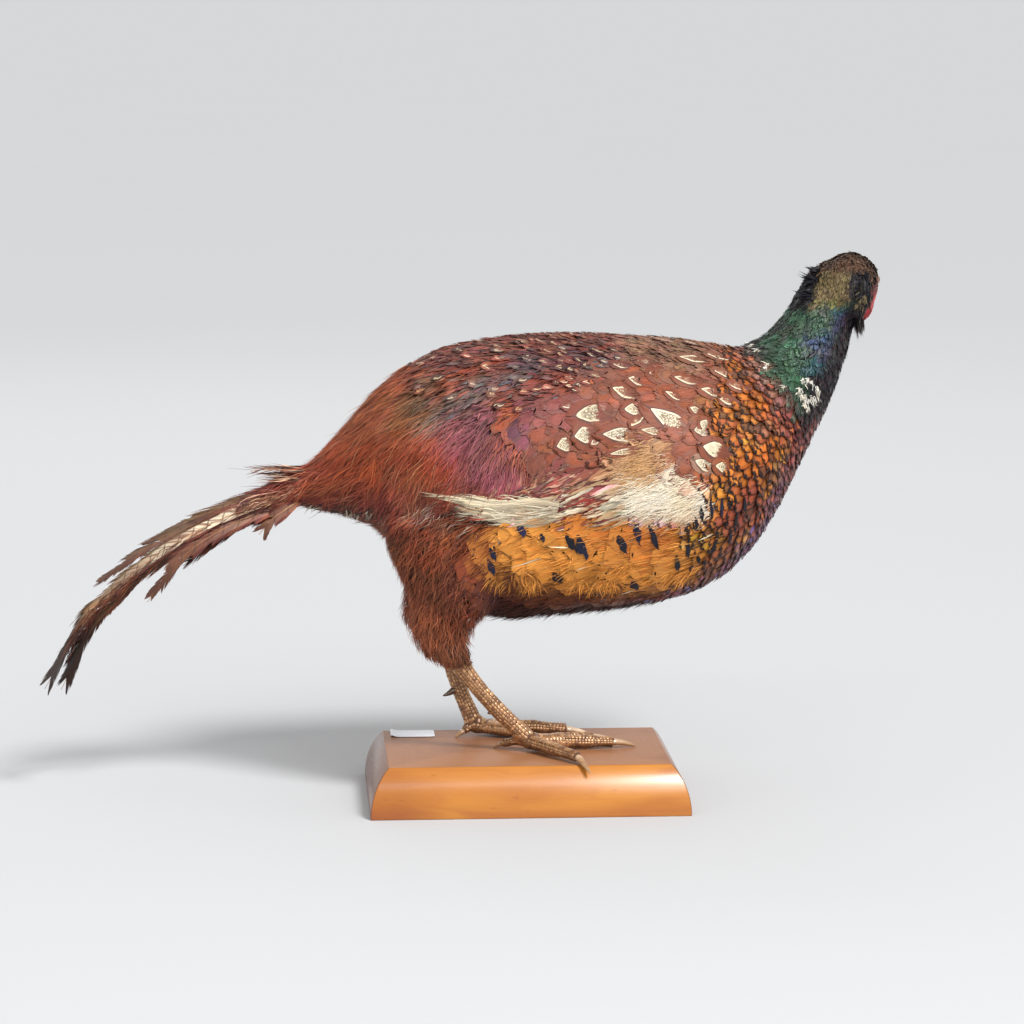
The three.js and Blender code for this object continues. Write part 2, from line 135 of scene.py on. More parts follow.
# ---- small sums ----
def unit(v):
    return v / np.maximum(np.linalg.norm(v, axis=-1, keepdims=True), 1e-12)


def flat_on(v, normal):
    """The part of v that lies in the surface."""
    return unit(v - normal * (v * normal).sum(-1, keepdims=True))


def ease(low, high, x):
    t = np.clip((x - low) / (high - low), 0, 1)
    return t * t * (3 - 2 * t)


def blend_of(a, b, t):
    t = np.asarray(t)[..., None]
    return a * (1 - t) + b * t


def spline(points, t):
    """Catmull-Rom run through points, t from 0 to 1."""
    p = np.asarray(points, float)
    p = np.vstack([2 * p[0] - p[1], p, 2 * p[-1] - p[-2]])
    t = np.clip(np.asarray(t, float), 0, 1) * (len(p) - 3)
    i = np.minimum(t.astype(int), len(p) - 4)
    f = (t - i)[:, None]
    a, b, c, d = p[i], p[i + 1], p[i + 2], p[i + 3]
    return 0.5 * (2 * b + (c - a) * f + (2 * a - 5 * b + 4 * c - d) * f**2 + (3 * b - a - 3 * c + d) * f**3)


def lengths(line):
    """How far each point of a line is from its start."""
    return np.concatenate([[0], np.cumsum(np.linalg.norm(np.diff(line, axis=0), axis=1))])


def at_length(length, far, line):
    """What a line, or anything given for its points, is at some length from its start."""
    return np.stack([np.interp(length, far, line[:, k]) for k in range(3)], -1)


LATTICE = np.random.default_rng(5).random((32, 32, 32))


def mottle(points, size, turn=0):
    """Soft random cloud over space, 0 to 1, with lumps of the given size in metres."""
    q = np.asarray(points) / size + turn * 7.31
    i = np.floor(q).astype(int)
    f = q - i
    f = f * f * (3 - 2 * f)
    total = 0
    for corner in itertools.product((0, 1), repeat=3):
        share = np.prod([f[..., k] if corner[k] else 1 - f[..., k] for k in range(3)], axis=0)
        total = total + share * LATTICE[tuple((i[..., k] + corner[k]) % 32 for k in range(3))]
    return total


def side_view(points):
    """Length and height in millimetres, as seen from the side."""
    return points[..., 0] / MM, points[..., 2] / MM


def reach(outline, x, z):
    """Millimetres inside (+) or outside (-) an outline drawn in the side view."""
    a = np.asarray(outline, float)
    b = np.roll(a, -1, 0)
    p = np.stack([x, z], -1)[:, None]
    ab = b - a
    t = np.clip(((p - a) * ab).sum(-1) / (ab**2).sum(-1), 0, 1)
    away = np.linalg.norm(p - a - t[..., None] * ab, axis=-1).min(1)
    cuts = (a[:, 1] > z[:, None]) != (b[:, 1] > z[:, None])
    rise = np.where(np.abs(ab[:, 1]) < 1e-9, 1e-9, ab[:, 1])
    at = a[:, 0] + (z[:, None] - a[:, 1]) / rise * ab[:, 0]
    inside = (cuts & (x[:, None] < at)).sum(1) % 2 == 1
    return np.where(inside, away, -away)


def on_head(points):
    """Places in the head's own frame: along the bill, to its left, up."""
    return (points - HEAD_MID) @ HEAD_TURN


def head_points(points):
    """From the head's own frame to its place."""
    return np.asarray(points, float) @ HEAD_TURN.T + HEAD_MID


# ---- where each kind of plumage grows, in the side view, millimetres ----
GROUND = dict(
    primaries=[(-70, 203), (-57, 198), (-41, 190), (-25, 186), (-11, 183), (0, 185), (11, 189), (18, 195),
               (16, 202),
               (0, 206), (-19, 209), (-38, 209), (-56, 206)],
    tan_down=[(58, 229), (68, 240), (82, 245), (95, 242), (98, 229), (89, 219), (75, 217), (61, 219)],
    white_down=[(72, 219), (86, 224), (100, 224), (115, 217), (124, 206), (121, 194), (107, 187), (94, 187),
                (78, 191),
                (66, 198)],
    coverts=[(-43, 200), (-39, 212), (-26, 221), (-6, 229), (9, 233), (31, 231), (50, 229), (68, 222),
             (78, 217),
             (75, 202), (72, 188), (59, 191), (37, 193), (20, 192), (9, 188), (0, 196), (-19, 206)],
    mantle=[(64, 320), (146, 320), (132, 282), (124, 268), (108, 278), (66, 282)],
    scapular=[(9, 240), (24, 262), (50, 279), (85, 289), (126, 288), (122, 246), (119, 213), (100, 222),
              (69, 245), (44, 228), (9, 221)],
    scallop=[(122, 320), (151, 296), (163, 266), (172, 240), (160, 214), (151, 191), (135, 164), (118, 146),
             (106, 176), (107, 201), (116, 220), (118, 250), (122, 272)],
    flank=[(-42, 190), (-25, 186), (-11, 183), (0, 186), (9, 189), (20, 193), (37, 194), (59, 192),
           (72, 189), (94, 186),
           (107, 188), (120, 192), (128, 172), (126, 156), (105, 140), (86, 133), (67, 131), (46, 134),
           (29, 135),
           (11, 141), (-5, 146), (-23, 150), (-37, 157), (-47, 168)],
    back=[(-53, 320), (72, 320), (72, 278), (45, 273), (22, 264), (-14, 252), (-50, 262), (-67, 273)],
    rump=[(-165, 175), (-160, 230), (-80, 310), (-53, 310), (-14, 258), (12, 240), (9, 226), (-6, 222),
          (-26, 212),
          (-40, 203), (-56, 202), (-80, 186)],
    thigh=[(-100, 192), (-38, 193), (-34, 162), (-19, 131), (-30, 80), (-90, 80)],
    belly=[(-40, 190), (-20, 134), (60, 130), (95, 130), (110, 90), (-60, 90), (-110, 150), (-120, 190)],
)


# Soft patches of colour on the body: place, half length and half height in millimetres, tilt, dye, strength.
PATCHES = [
    (-84, 262, 30, 10, 40, "rufous", .8), (-60, 264, 20, 9, 36, "olive", .4),
    (-40, 276, 14, 5, 30, "rust", .7),
    # the teal patch near (5, 282) is a painted glint of the back's sheen
    (-27, 270, 34, 7, 32, "slate", .45), (5, 282, 15, 6, 15, "teal", .4), (-14, 284, 14, 4, 8, "rust", .6),
    (40, 286, 44, 7, 0, "plum", .6), (24, 276, 22, 4, -4, "brick", .7), (32, 262, 26, 9, 0, "mauve", .7),
    (4, 256, 13, 11, 0, "lilac", .4), (-7, 262, 12, 6, -40, "rust", .6),
    (-2, 246, 19, 5, -66, "sienna", .5),
    (18, 226, 14, 9, 0, "mauve", .5), (60, 274, 16, 7, 0, "dusk", .5),
    (-32, 250, 18, 10, 36, "lilac", .5), (-18, 230, 10, 13, 70, "lilac", .45),
    (-50, 234, 13, 14, 40, "brick", .7), (-52, 226, 14, 22, 20, "rust", .5),
    (-14, 212, 26, 7, 4, "brick", .9), (4, 232, 7, 8, 0, "maroon", .6),
    (-45, 206, 12, 7, -30, "maroon", .75),
    (-69, 212, 25, 8, 74, "clay", .4), (-100, 225, 26, 16, 35, "rust", .5),
    (-128, 208, 24, 10, 25, "sienna", .35),
    (-84, 178, 9, 12, 0, "umber", .9), (-52, 170, 16, 9, 0, "rust", .7), (-64, 186, 16, 7, -20, "rust", .5),
    (-34, 168, 12, 14, 0, "rust", .6), (-62, 128, 16, 12, 0, "rufous", .5),
    (-52, 100, 14, 12, 0, "umber", .45),
    (110, 236, 12, 18, 0, "chestnut", .4), (92, 262, 26, 12, -10, "chestnut", .35),
    (62, 236, 14, 7, 20, "sienna", .4),
    (140, 276, 24, 14, -60, "rust", .25), (132, 250, 12, 14, 0, "amber", .25),
    (128, 214, 13, 22, 0, "amber", .4),
    (118, 190, 9, 9, 0, "amber", .8), (152, 236, 14, 10, -50, "sienna", .3),
    (152, 250, 7, 7, 0, "dusk", .6),
    (140, 196, 9, 22, -30, "maroon", .8), (126, 160, 20, 9, 50, "maroon", .7),
    (52, 134, 60, 6, 3, "wine", .6),
    (50, 168, 56, 12, 0, "gold", .6), (95, 288, 30, 7, 0, "bark", .45), (-156, 196, 22, 5, 23, "buff", .85),
]


# The same on the neck.
NECK_PATCHES = [
    (174, 287, 15, 11, 50, "green", .5), (190, 313, 12, 9, 0, "green", .7),
    (206, 318, 8, 6, -20, "teal", .85),
    (207, 309, 8, 4, 20, "violet", .7), (194, 301, 11, 5, 10, "blue", .8),
    (196, 293, 8, 5, 0, "violet", .6),
    (188, 284, 7, 5, 30, "teal", .8), (181, 271, 8, 10, 0, "green", .6), (203, 296, 6, 4, 0, "plum", .6),
    (196, 322, 6, 2.5, 0, "teal", .7),
]


def patched(tone, points, patches):
    """Lays soft-edged patches of colour over a tone."""
    x, z = side_view(points)
    uneven = (mottle(points, 7 * MM, 31) - 0.5) * 0.7 + (mottle(points, 2.8 * MM, 32) - 0.5) * 0.6
    for mid_x, mid_z, long, high, tilt, name, strength in patches:
        c, s = math.cos(math.radians(tilt)), math.sin(math.radians(tilt))
        along = ((x - mid_x) * c + (z - mid_z) * s) / long
        across = ((z - mid_z) * c - (x - mid_x) * s) / high
        tone = blend_of(tone, DYE[name], ease(1.3, 0.6, np.hypot(along, across) + uneven) * strength)
    return tone


# Lie of the coat: place in the side view and the way the feathers point there.
LIE = np.array([
    (205, 330, -.45, -.89), (190, 318, -.56, -.83), (176, 300, -.62, -.78), (160, 292, -.85, -.5),
    (205, 290, -.3, -.95), (198, 262, -.4, -.92), (188, 240, -.5, -.87), (175, 205, -.6, -.8),
    (160, 178, -.7, -.7), (140, 152, -.85, -.5), (110, 130, -.98, -.2), (60, 120, -1, 0),
    (10, 118, -1, .05),
    (165, 265, -.66, -.75), (150, 245, -.74, -.67), (135, 225, -.86, -.5), (122, 200, -.95, -.3),
    (112, 170, -.97, -.22), (70, 160, -.98, -.2), (30, 160, -.96, -.28), (-10, 160, -.93, -.36),
    (130, 288, -.96, -.27), (100, 290, -1, -.05), (60, 298, -1, .02), (10, 298, -1, -.05),
    (-30, 290, -.95, -.3),
    (100, 265, -.97, -.22), (60, 262, -.97, -.2), (30, 248, -.95, -.3), (70, 225, -.93, -.34),
    (40, 210, -.92, -.36), (95, 205, -.95, -.3), (0, 205, -.98, -.1), (-40, 202, -1, .02),
    (0, 262, -.85, -.52), (-30, 262, -.72, -.7), (-12, 240, -.42, -.9), (-25, 222, -.3, -.95),
    (-5, 222, .05, -1), (-48, 240, -.6, -.8), (-50, 215, -.35, -.94), (-65, 262, -.74, -.67),
    (-60, 284, -.86, -.5), (-90, 258, -.76, -.65), (-88, 225, -.68, -.73), (-82, 200, -.55, -.83),
    (-110, 232, -.76, -.65), (-112, 206, -.84, -.54), (-135, 205, -.9, -.44), (-160, 192, -.9, -.44),
    (-100, 184, -.8, -.6), (-70, 175, -.6, -.8), (-60, 150, -.38, -.92), (-50, 120, -.25, -.97),
    (-50, 95, .1, -1), (-30, 135, -.8, -.6), (-25, 165, -.75, -.65),
], float)


def lie(points):
    """Which way the coat points at each place, before it is laid in the surface."""
    x, z = side_view(points)
    away = (x[:, None] - LIE[:, 0]) ** 2 + (z[:, None] - LIE[:, 1]) ** 2
    share = 1 / (away + 30) ** 2
    share /= share.sum(1, keepdims=True)
    flow = share @ LIE[:, 2:]
    way = np.stack([flow[:, 0], np.zeros(len(x)), flow[:, 1]], 1)
    local = on_head(points)
    swept = np.array([-1.0, 0, -0.35]) @ HEAD_TURN.T
    near_head = ease(34 * MM, 22 * MM, np.linalg.norm(local * [1, 1, 0.9], axis=1))
    return unit(blend_of(way, swept, near_head))


# ---- markings shared by the skin and the coat ----
def neck_side(x, z):
    """Millimetres above the line where the neck plumage ends."""
    a, b = np.array([151.0, 295.0]), np.array([188.0, 232.0])
    along = (b - a) / np.linalg.norm(b - a)
    rear = (x - a[0]) * -along[1] + (z - a[1]) * along[0]
    fore = (z - 246) * 0.84 - (x - 183.5) * 0.54
    return np.minimum(rear, fore)


def neck_colours(points):
    local = on_head(points) / MM
    x, z = side_view(points)
    spots, fine = mottle(points, 9 * MM, 1) - 0.5, mottle(points, 2.6 * MM, 2) - 0.5
    tone = blend_of(DYE["fog"], DYE["green"], ease(0.0, 0.2, spots) * 0.8)
    tone = patched(tone, points, NECK_PATCHES) * (0.8 - 0.26 * ease(172, 186, x))[:, None]
    ridge = (x - 166) * 0.83 - (z - 311) * 0.55  # millimetres in front of the nape
    tone = blend_of(tone, DYE["soot"] * 1.6, ease(7, 1, ridge + spots * 6) * 0.75)
    front = (x - 195) * 0.832 - (z - 281.5) * 0.555 + spots * 12
    tone = blend_of(tone, blend_of(DYE["soot"], DYE["plum"] * 0.6, ease(0.0, 0.3, fine)),
                    ease(-7, 2, front))
    tone = blend_of(tone, DYE["soot"], 0.45 * ease(0.05, 0.25, fine))
    # the head: black cheeks, olive nape, brown crown
    on_it = ease(318, 323, z + spots * 8) * ease(48, 40, np.linalg.norm(local, axis=1))
    tone = blend_of(tone, DYE["soot"], on_it)
    nape = ease(13.5, 9.5, np.abs(local[:, 1] - 4.5) + fine * 6) * ease(2, -6, local[:, 0])
    nape = nape * ease(317, 321, z + spots * 7)
    hair = blend_of(blend_of(DYE["moss"] * 0.8, DYE["olive"], ease(320, 326, z + fine * 8)), DYE["sepia"],
                    ease(0.0, 0.3, fine) * 0.7)
    tone = blend_of(tone, hair, nape)
    edge = 10 - 8.5 * np.exp(-(((local[:, 0] + 8) / 7) ** 2))
    crown = ease(-1.5, 1.5, local[:, 2] - edge + spots * 4)
    tone = blend_of(tone, blend_of(DYE["bark"] * [0.6, 0.62, 0.62], DYE["sepia"] * 0.7,
                                   ease(-0.1, 0.3, fine)), crown)
    chin = ease(-14, -20, local[:, 2]) * ease(-4, 4, local[:, 0])
    return blend_of(tone, DYE["soot"], chin)


def flank_colours(points):
    """Gold of the flank, rusty towards the tail and the belly."""
    x, z = side_view(points)
    broad, fine = mottle(points, 16 * MM, 3), mottle(points, 5 * MM, 4)
    golden = blend_of(DYE["gold"], DYE["amber"], ease(0.5, 0.9, broad)) * 1.14
    golden = blend_of(golden, DYE["rust"] * 0.9, ease(-2, -42, x + (fine - 0.5) * 30))
    golden = blend_of(golden, DYE["rufous"] * 0.72, ease(-34, -56, x + (fine - 0.5) * 24))
    low = 143 + 17 * ease(20, -26, x)
    return blend_of(golden, DYE["maroon"] * 0.56, ease(7, -7, z - low + (fine - 0.5) * 12) * 0.9)


def coat_colours(points):
    """The ground colour of the coat anywhere on the bird."""
    x, z = side_view(points)
    broad, fine = mottle(points, 16 * MM, 3), mottle(points, 5 * MM, 4)
    tone = blend_of(DYE["maroon"], DYE["plum"], ease(0.35, 0.7, broad))
    # violet mottling low on the front of the breast: painted glints of its sheen
    tone = blend_of(tone, DYE["violet"], ease(0.62, 0.8, fine) * ease(215, 190,
                                                                      z) * ease(100, 112, x) * 0.6)

    def lay(ground, colour, soft=6):
        nonlocal tone
        tone = blend_of(tone, colour,
                        ease(-soft, soft, reach(GROUND[ground], x, z) + (fine - 0.5) * soft * 2))

    lay("belly", blend_of(DYE["umber"], DYE["maroon"] * 0.6, fine))
    lay("thigh", blend_of(DYE["rufous"], DYE["rust"], ease(0.4, 0.8, broad)) * 0.72)
    lay("rump", blend_of(blend_of(DYE["rust"], DYE["mauve"], ease(-62, -26, x)), DYE["wine"],
                         ease(234, 214, z)))
    lay("back", blend_of(DYE["wine"], DYE["dusk"], fine))
    lay("flank", flank_colours(points), 9)
    lay("scallop", blend_of(DYE["sienna"], DYE["gold"], ease(0.4, 1.0, broad)) * [0.6, 0.62, 0.3])
    lay("scapular", blend_of(DYE["chestnut"], DYE["clay"], broad) * [0.7, 0.62, 0.55])
    lay("mantle", blend_of(DYE["dusk"], DYE["bark"], broad) * 1.32)
    lay("coverts", blend_of(DYE["wine"], DYE["mauve"], ease(0.4, 0.7, fine)))
    lay("white_down", DYE["down"], 4)
    lay("tan_down", DYE["tan"], 4)
    lay("primaries", DYE["bone"], 3)
    over = neck_side(x, z) + (fine - 0.5) * 8
    band = ease(-15, -7, over) * ease(136, 148, x)
    tone = blend_of(tone, blend_of(DYE["dusk"], DYE["maroon"], ease(160, 172, x)), band * 0.85)
    tone = patched(tone, points, PATCHES)
    return blend_of(tone, neck_colours(points), ease(-3, 3, over))


def coat_depth(points):
    """How far the skin lies under the tips of the coat."""
    x, z = side_view(points)
    depth = np.full(len(x), 6.0)
    depth = np.where(neck_side(x, z) > 0, 3.2, depth)
    local = on_head(points) / MM
    near_head = ease(36, 26, np.linalg.norm(local, axis=1))
    depth = depth * (1 - near_head) + 1.4 * near_head
    bill = ease(12, 20, local[:, 0]) * near_head
    low = ease(96, 112, z)
    return (depth * (1 - 0.8 * bill)) * (0.25 + 0.75 * low) * MM


# ---- meshes ----
def clear_choice():
    bpy.ops.object.select_all(action="DESELECT")


def choose(piece):
    clear_choice()
    piece.select_set(True)
    bpy.context.view_layer.objects.active = piece
    return piece


def linked(name, mesh):
    """A new object in the scene for a mesh."""
    piece = bpy.data.objects.new(name, mesh)
    bpy.context.scene.collection.objects.link(piece)
    return piece


def put(name, points, faces):
    """A new mesh piece from points and faces."""
    mesh = bpy.data.meshes.new(name)
    mesh.from_pydata(points, [], faces)
    return linked(name, mesh)


def give(mesh, name, values):
    """A number to each point, for a material to read."""
    mesh.attributes.new(name, "FLOAT", "POINT").data.foreach_set("value", values.astype(np.float32))


def dyed(mesh, name, colours):
    """A colour to each point, for a material to read."""
    full = np.ones((len(colours), 4), np.float32)
    full[:, :3] = colours
    mesh.color_attributes.new(name, "FLOAT_COLOR", "POINT").data.foreach_set("color", full.ravel())


def copy_of(*nodes, swell=0.0):
    """One new object from copies of CAD nodes, their loose triangles merged."""
    joined = bmesh.new()
    for node in nodes:
        part = bmesh.new()
        part.from_mesh(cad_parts[node].data)
        bmesh.ops.remove_doubles(part, verts=part.verts, dist=1e-5)
        bmesh.ops.recalc_face_normals(part, faces=part.faces)
        part.normal_update()
        for v in part.verts:
            v.co += v.normal * swell
        kept = bpy.data.meshes.new("part")
        part.to_mesh(kept)
        part.free()
        joined.from_mesh(kept)
        bpy.data.meshes.remove(kept)
    mesh = bpy.data.meshes.new("copy")
    joined.to_mesh(mesh)
    joined.free()
    return linked("copy", mesh)


def modify(piece, kind, **settings):
    """Adds a modifier and applies it at once."""
    choose(piece)
    made = piece.modifiers.new(kind.title(), kind)
    for key, value in settings.items():
        setattr(made, key, value)
    bpy.ops.object.modifier_apply(modifier=made.name)
    return piece


def mesh_points(piece):
    co = np.empty(len(piece.data.vertices) * 3)
    piece.data.vertices.foreach_get("co", co)
    return co.reshape(-1, 3)


def move_points(piece, points):
    piece.data.vertices.foreach_set("co", np.asarray(points, float).ravel())
    piece.data.update()


def mesh_normals(piece):
    way = np.empty(len(piece.data.vertices) * 3)
    piece.data.vertex_normals.foreach_get("vector", way)
    return way.reshape(-1, 3)


def biggest_shell(piece):
    """Drops shells closed up inside the biggest one."""
    choose(piece)
    bpy.ops.object.mode_set(mode="EDIT")
    bpy.ops.mesh.separate(type="LOOSE")
    bpy.ops.object.mode_set(mode="OBJECT")
    parts = list(bpy.context.selected_objects)
    parts.sort(key=lambda o: -len(o.data.vertices))
    for spare in parts[1:]:
        bpy.data.objects.remove(spare)
    return parts[0]


def ride(piece, slot, *nodes):
    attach(piece, "root")
    if nodes:
        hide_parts(*nodes)
    return piece


def finished(piece, name, material, slot, *nodes):
    """Names a modelled piece, gives it its one material, hangs it under the root and hides the nodes it
    replaces.
    """
    piece.name = piece.data.name = name
    piece.data.materials.append(material)
    return ride(piece, slot, *nodes)


def settle():
    """Moves the place, turn and scale of the chosen piece into its mesh."""
    bpy.ops.object.transform_apply(location=True, rotation=True, scale=True)


def face_outwards():
    """Turns the faces of the chosen piece outwards."""
    bpy.ops.object.mode_set(mode="EDIT")
    bpy.ops.mesh.select_all(action="SELECT")
    bpy.ops.mesh.normals_make_consistent(inside=False)
    bpy.ops.object.mode_set(mode="OBJECT")


class Surface:
    """A surface that the coat is laid on."""

    def __init__(self, piece):
        mesh = piece.data
        mesh.calc_loop_triangles()
        self.points = mesh_points(piece)
        self.normals = mesh_normals(piece)
        tris = np.empty(len(mesh.loop_triangles) * 3, int)
        mesh.loop_triangles.foreach_get("vertices", tris)
        self.tris = tris.reshape(-1, 3)
        self.tree = BVHTree.FromPolygons(self.points.tolist(), self.tris.tolist())

    def meet(self, points):
        """The nearest place on the surface to each point, and the way out of it there."""
        shape = points.shape
        flat = points.reshape(-1, 3)
        at = np.empty_like(flat)
        face = np.empty(len(flat), int)
        nearest = self.tree.find_nearest
        for i, p in enumerate(flat.tolist()):
            place, _, k, _ = nearest(p)
            at[i] = place
            face[i] = k
        a, b, c = (self.points[self.tris[face, k]] for k in range(3))
        ab, ac, ap = b - a, c - a, at - a
        d00, d01, d11 = (ab * ab).sum(1), (ab * ac).sum(1), (ac * ac).sum(1)
        d20, d21 = (ap * ab).sum(1), (ap * ac).sum(1)
        whole = np.maximum(d00 * d11 - d01**2, 1e-24)
        v, w = (d11 * d20 - d01 * d21) / whole, (d00 * d21 - d01 * d20) / whole
        share = np.clip(np.stack([1 - v - w, v, w], 1), 0, 1)
        out = unit(sum(self.normals[self.tris[face, k]] * share[:, k : k + 1] for k in range(3)))
        return at.reshape(shape), out.reshape(shape)

    def sown(self, number, dice):
        """Random places, evenly by area."""
        a, b, c = (self.points[self.tris[:, k]] for k in range(3))
        area = np.linalg.norm(np.cross(b - a, c - a), axis=1)
        pick = dice.choice(len(area), number, p=area / area.sum())
        r, s = np.sqrt(dice.random(number)), dice.random(number)
        share = np.stack([1 - r, r * (1 - s), r * s], 1)[:, :, None]
        return (np.stack([a[pick], b[pick], c[pick]], 1) * share).sum(1)


def thinned(points, gap, dice):
    """Keeps points so that no two stand closer than gap; gap may differ from point to point."""
    gap = np.broadcast_to(gap, len(points))
    tree = KDTree(len(points))
    for i, p in enumerate(points.tolist()):
        tree.insert(p, i)
    tree.balance()
    free = np.ones(len(points), bool)
    kept = []
    for i in dice.permutation(len(points)):
        if free[i]:
            kept.append(i)
            for _, j, _ in tree.find_range(points[i].tolist(), gap[i]):
                free[j] = False
    return np.array(kept, int)


# ---- the unwrap that the coat's bake map is laid out on ----
AXIS = np.array([(-311, 70), (-272, 124), (-212, 172), (-139, 203), (-60, 214), (40, 208), (125, 214),
                 (172, 262), (203, 305), (214, 350)], float)


def unwrapped(points):
    """Length along the bird and the turn round it, in metres."""
    x, z = side_view(points)
    p = np.stack([x, z], 1)[:, None]
    a, b = AXIS[:-1], AXIS[1:]
    ab = b - a
    t = np.clip(((p - a) * ab).sum(-1) / (ab**2).sum(-1), 0, 1)
    gap = np.linalg.norm(p - a - t[..., None] * ab, axis=-1)
    k = gap.argmin(1)
    size = np.linalg.norm(ab, axis=1)
    start = np.concatenate([[0], np.cumsum(size)[:-1]])
    row = np.arange(len(x))
    along = start[k] + t[row, k] * size[k]
    mid = a[k] + t[row, k][:, None] * ab[k]
    up = np.stack([-ab[k, 1], ab[k, 0]], 1) / size[k][:, None]
    rise = ((np.stack([x, z], 1) - mid) * up).sum(1)
    turn = np.arctan2(points[:, 1] / MM - MIDDLE / MM, rise)
    return np.stack([along * MM, turn * 60 * MM], 1)


def bake_places(flat):
    """A square patch on the unwrap for each root: its corner and its size, inside the unit square."""
    low, high = flat.min(0), flat.max(0)
    flat = 0.03 + 0.94 * (flat - low) / np.maximum(high - low, 1e-6)
    spots, which = np.unique(np.round(flat, 6), axis=0, return_inverse=True)
    tree = KDTree(len(spots))
    for i, p in enumerate(spots.tolist()):
        tree.insert((*p, 0), i)
    tree.balance()
    near = np.array([tree.find_n((*p, 0), 2)[-1][2]
                     for p in spots.tolist()]) if len(spots) > 1 else np.ones(1)
    size = np.clip(near * 0.75, 0.0022, 0.02)[which.ravel()]
    return flat - size[:, None] / 2, size


# ---- feathers ----
class Coat:
    """Gathers vanes and strands into pieces."""

    def __init__(self, name, slot, material, *stands_for):
        self.name, self.slot, self.material, self.stands_for = name, slot, material, stands_for
        self.blocks = []

    def add(self, points, tint, mark, vane, rim, fate, flat, patch=None):
        """points (feather, row, column, xyz); the rest match it or are one to a feather."""
        self.blocks.append((points, tint, mark, vane, rim, fate, flat, vane if patch is None else patch))

    def finish(self):
        corner, size = bake_places(np.concatenate([b[6] for b in self.blocks]))
        first, groups, room = 0, [[]], 0
        for *lot, _, patch in self.blocks:
            n, rows, cols = lot[0].shape[:3]
            lot += [patch, corner[first : first + n], size[first : first + n]]
            first += n
            each = (rows - 1) * (cols - 1) * 2
            at = 0
            while at < n:
                take = min(n - at, (190000 - room) // each)
                if take < 1:
                    groups.append([])
                    room = 0
                    continue
                groups[-1].append([v[at : at + take] for v in lot])
                room += take * each
                at += take
        for i, group in enumerate(groups):
            name = self.name if len(groups) == 1 else f"{self.name}_{i + 1}"
            ride(self.piece(name, group), self.slot, *self.stands_for)

    def piece(self, name, group):
        co, quads, tints, marks, vanes, rims, fates, maps = [], [], [], [], [], [], [], []
        base = 0
        for points, tint, mark, vane, rim, fate, patch, corner, size in group:
            n, rows, cols = points.shape[:3]
            index = np.arange(n * rows * cols).reshape(n, rows, cols) + base
            quad = np.stack([index[:, :-1, :-1], index[:, :-1, 1:], index[:, 1:, 1:], index[:, 1:, :-1]],
                            -1)
            base += n * rows * cols
            co.append(points.reshape(-1, 3))
            quads.append(quad.reshape(-1, 4))
            for kept, value in ((tints, tint), (marks, mark)):
                value = value if value.ndim == 4 else value[:, None, None]
                kept.append(np.broadcast_to(value, (n, rows, cols, 3)).reshape(-1, 3))
            vanes.append(vane.reshape(-1, 2))
            rims.append(rim.reshape(-1))
            fates.append(np.broadcast_to(fate[:, None, None], (n, rows, cols)).reshape(-1))
            maps.append((corner[:, None, None] + patch * size[:, None, None, None]).reshape(-1, 2))
        co, quads = np.concatenate(co), np.concatenate(quads)
        mesh = bpy.data.meshes.new(name)
        mesh.vertices.add(len(co))
        mesh.vertices.foreach_set("co", co.ravel())
        mesh.loops.add(len(quads) * 4)
        mesh.loops.foreach_set("vertex_index", quads.ravel().astype(np.int32))
        mesh.polygons.add(len(quads))
        mesh.polygons.foreach_set("loop_start", np.arange(0, len(quads) * 4, 4, dtype=np.int32))
        mesh.polygons.foreach_set("use_smooth", np.ones(len(quads), bool))
        mesh.update(calc_edges=True)
        dyed(mesh, "tint", np.concatenate(tints))
        dyed(mesh, "mark", np.concatenate(marks))
        give(mesh, "rim", np.concatenate(rims))
        give(mesh, "fate", np.concatenate(fates))
        corner = quads.ravel()
        for key, value in (("OFBake", maps), ("vane", vanes)):
            places = np.concatenate(value)[corner].astype(np.float32)
            mesh.uv_layers.new(name=key).data.foreach_set("uv", places.ravel())
        mesh.materials.append(self.material)
        return linked(name, mesh)


# Shapes of feathers: where along the length they start to close, and how roundly they do.
SHAPES = dict(round=(0.62, 2.2), broad=(0.8, 2.6), oval=(0.58, 1.9), lance=(0.35, 1.5))


def outline(t, shape):
    """Half width of a feather along its length, as a share of its widest."""
    start, power = SHAPES[shape]
    grow = 0.3 + 0.7 * ease(0, start * 0.8, t)
    close = np.clip((t - start) / (1 - start), 0, 1)
    return grow * np.maximum(np.sqrt(np.maximum(1 - close**power, 0)), 0.1)


# How the rows of points are spread along a feather, closer together towards the tip.
ROWS = {5: [0, 0.35, 0.68, 0.9, 1], 7: [0, 0.26, 0.5, 0.7, 0.85, 0.95, 1],
        9: [0, 0.18, 0.36, 0.52, 0.66, 0.79, 0.89, 0.96, 1], 12: np.linspace(0, 1, 12) ** 0.85}


def run_along(surface, roots, dice, length, t, way, spread, follow):
    """The line of each shaft from its root along the surface."""
    p, out = surface.meet(roots)
    d = flat_on(lie(p) if way is None else way, out)
    turn = dice.normal(0, spread, len(roots))[:, None]
    d = d * np.cos(turn) + np.cross(out, d) * np.sin(turn)
    run = [(p, out, d)]
    for k in range(1, len(t)):
        p, out = surface.meet(p + d * (length * (t[k] - t[k - 1]))[:, None])
        d = flat_on(d, out)
        if way is None:
            d = flat_on(d * (1 - follow * 0.5) + flat_on(lie(p), out) * follow * 0.5, out)
        run.append((p, out, d))
    return (np.stack(v, 1) for v in zip(*run))


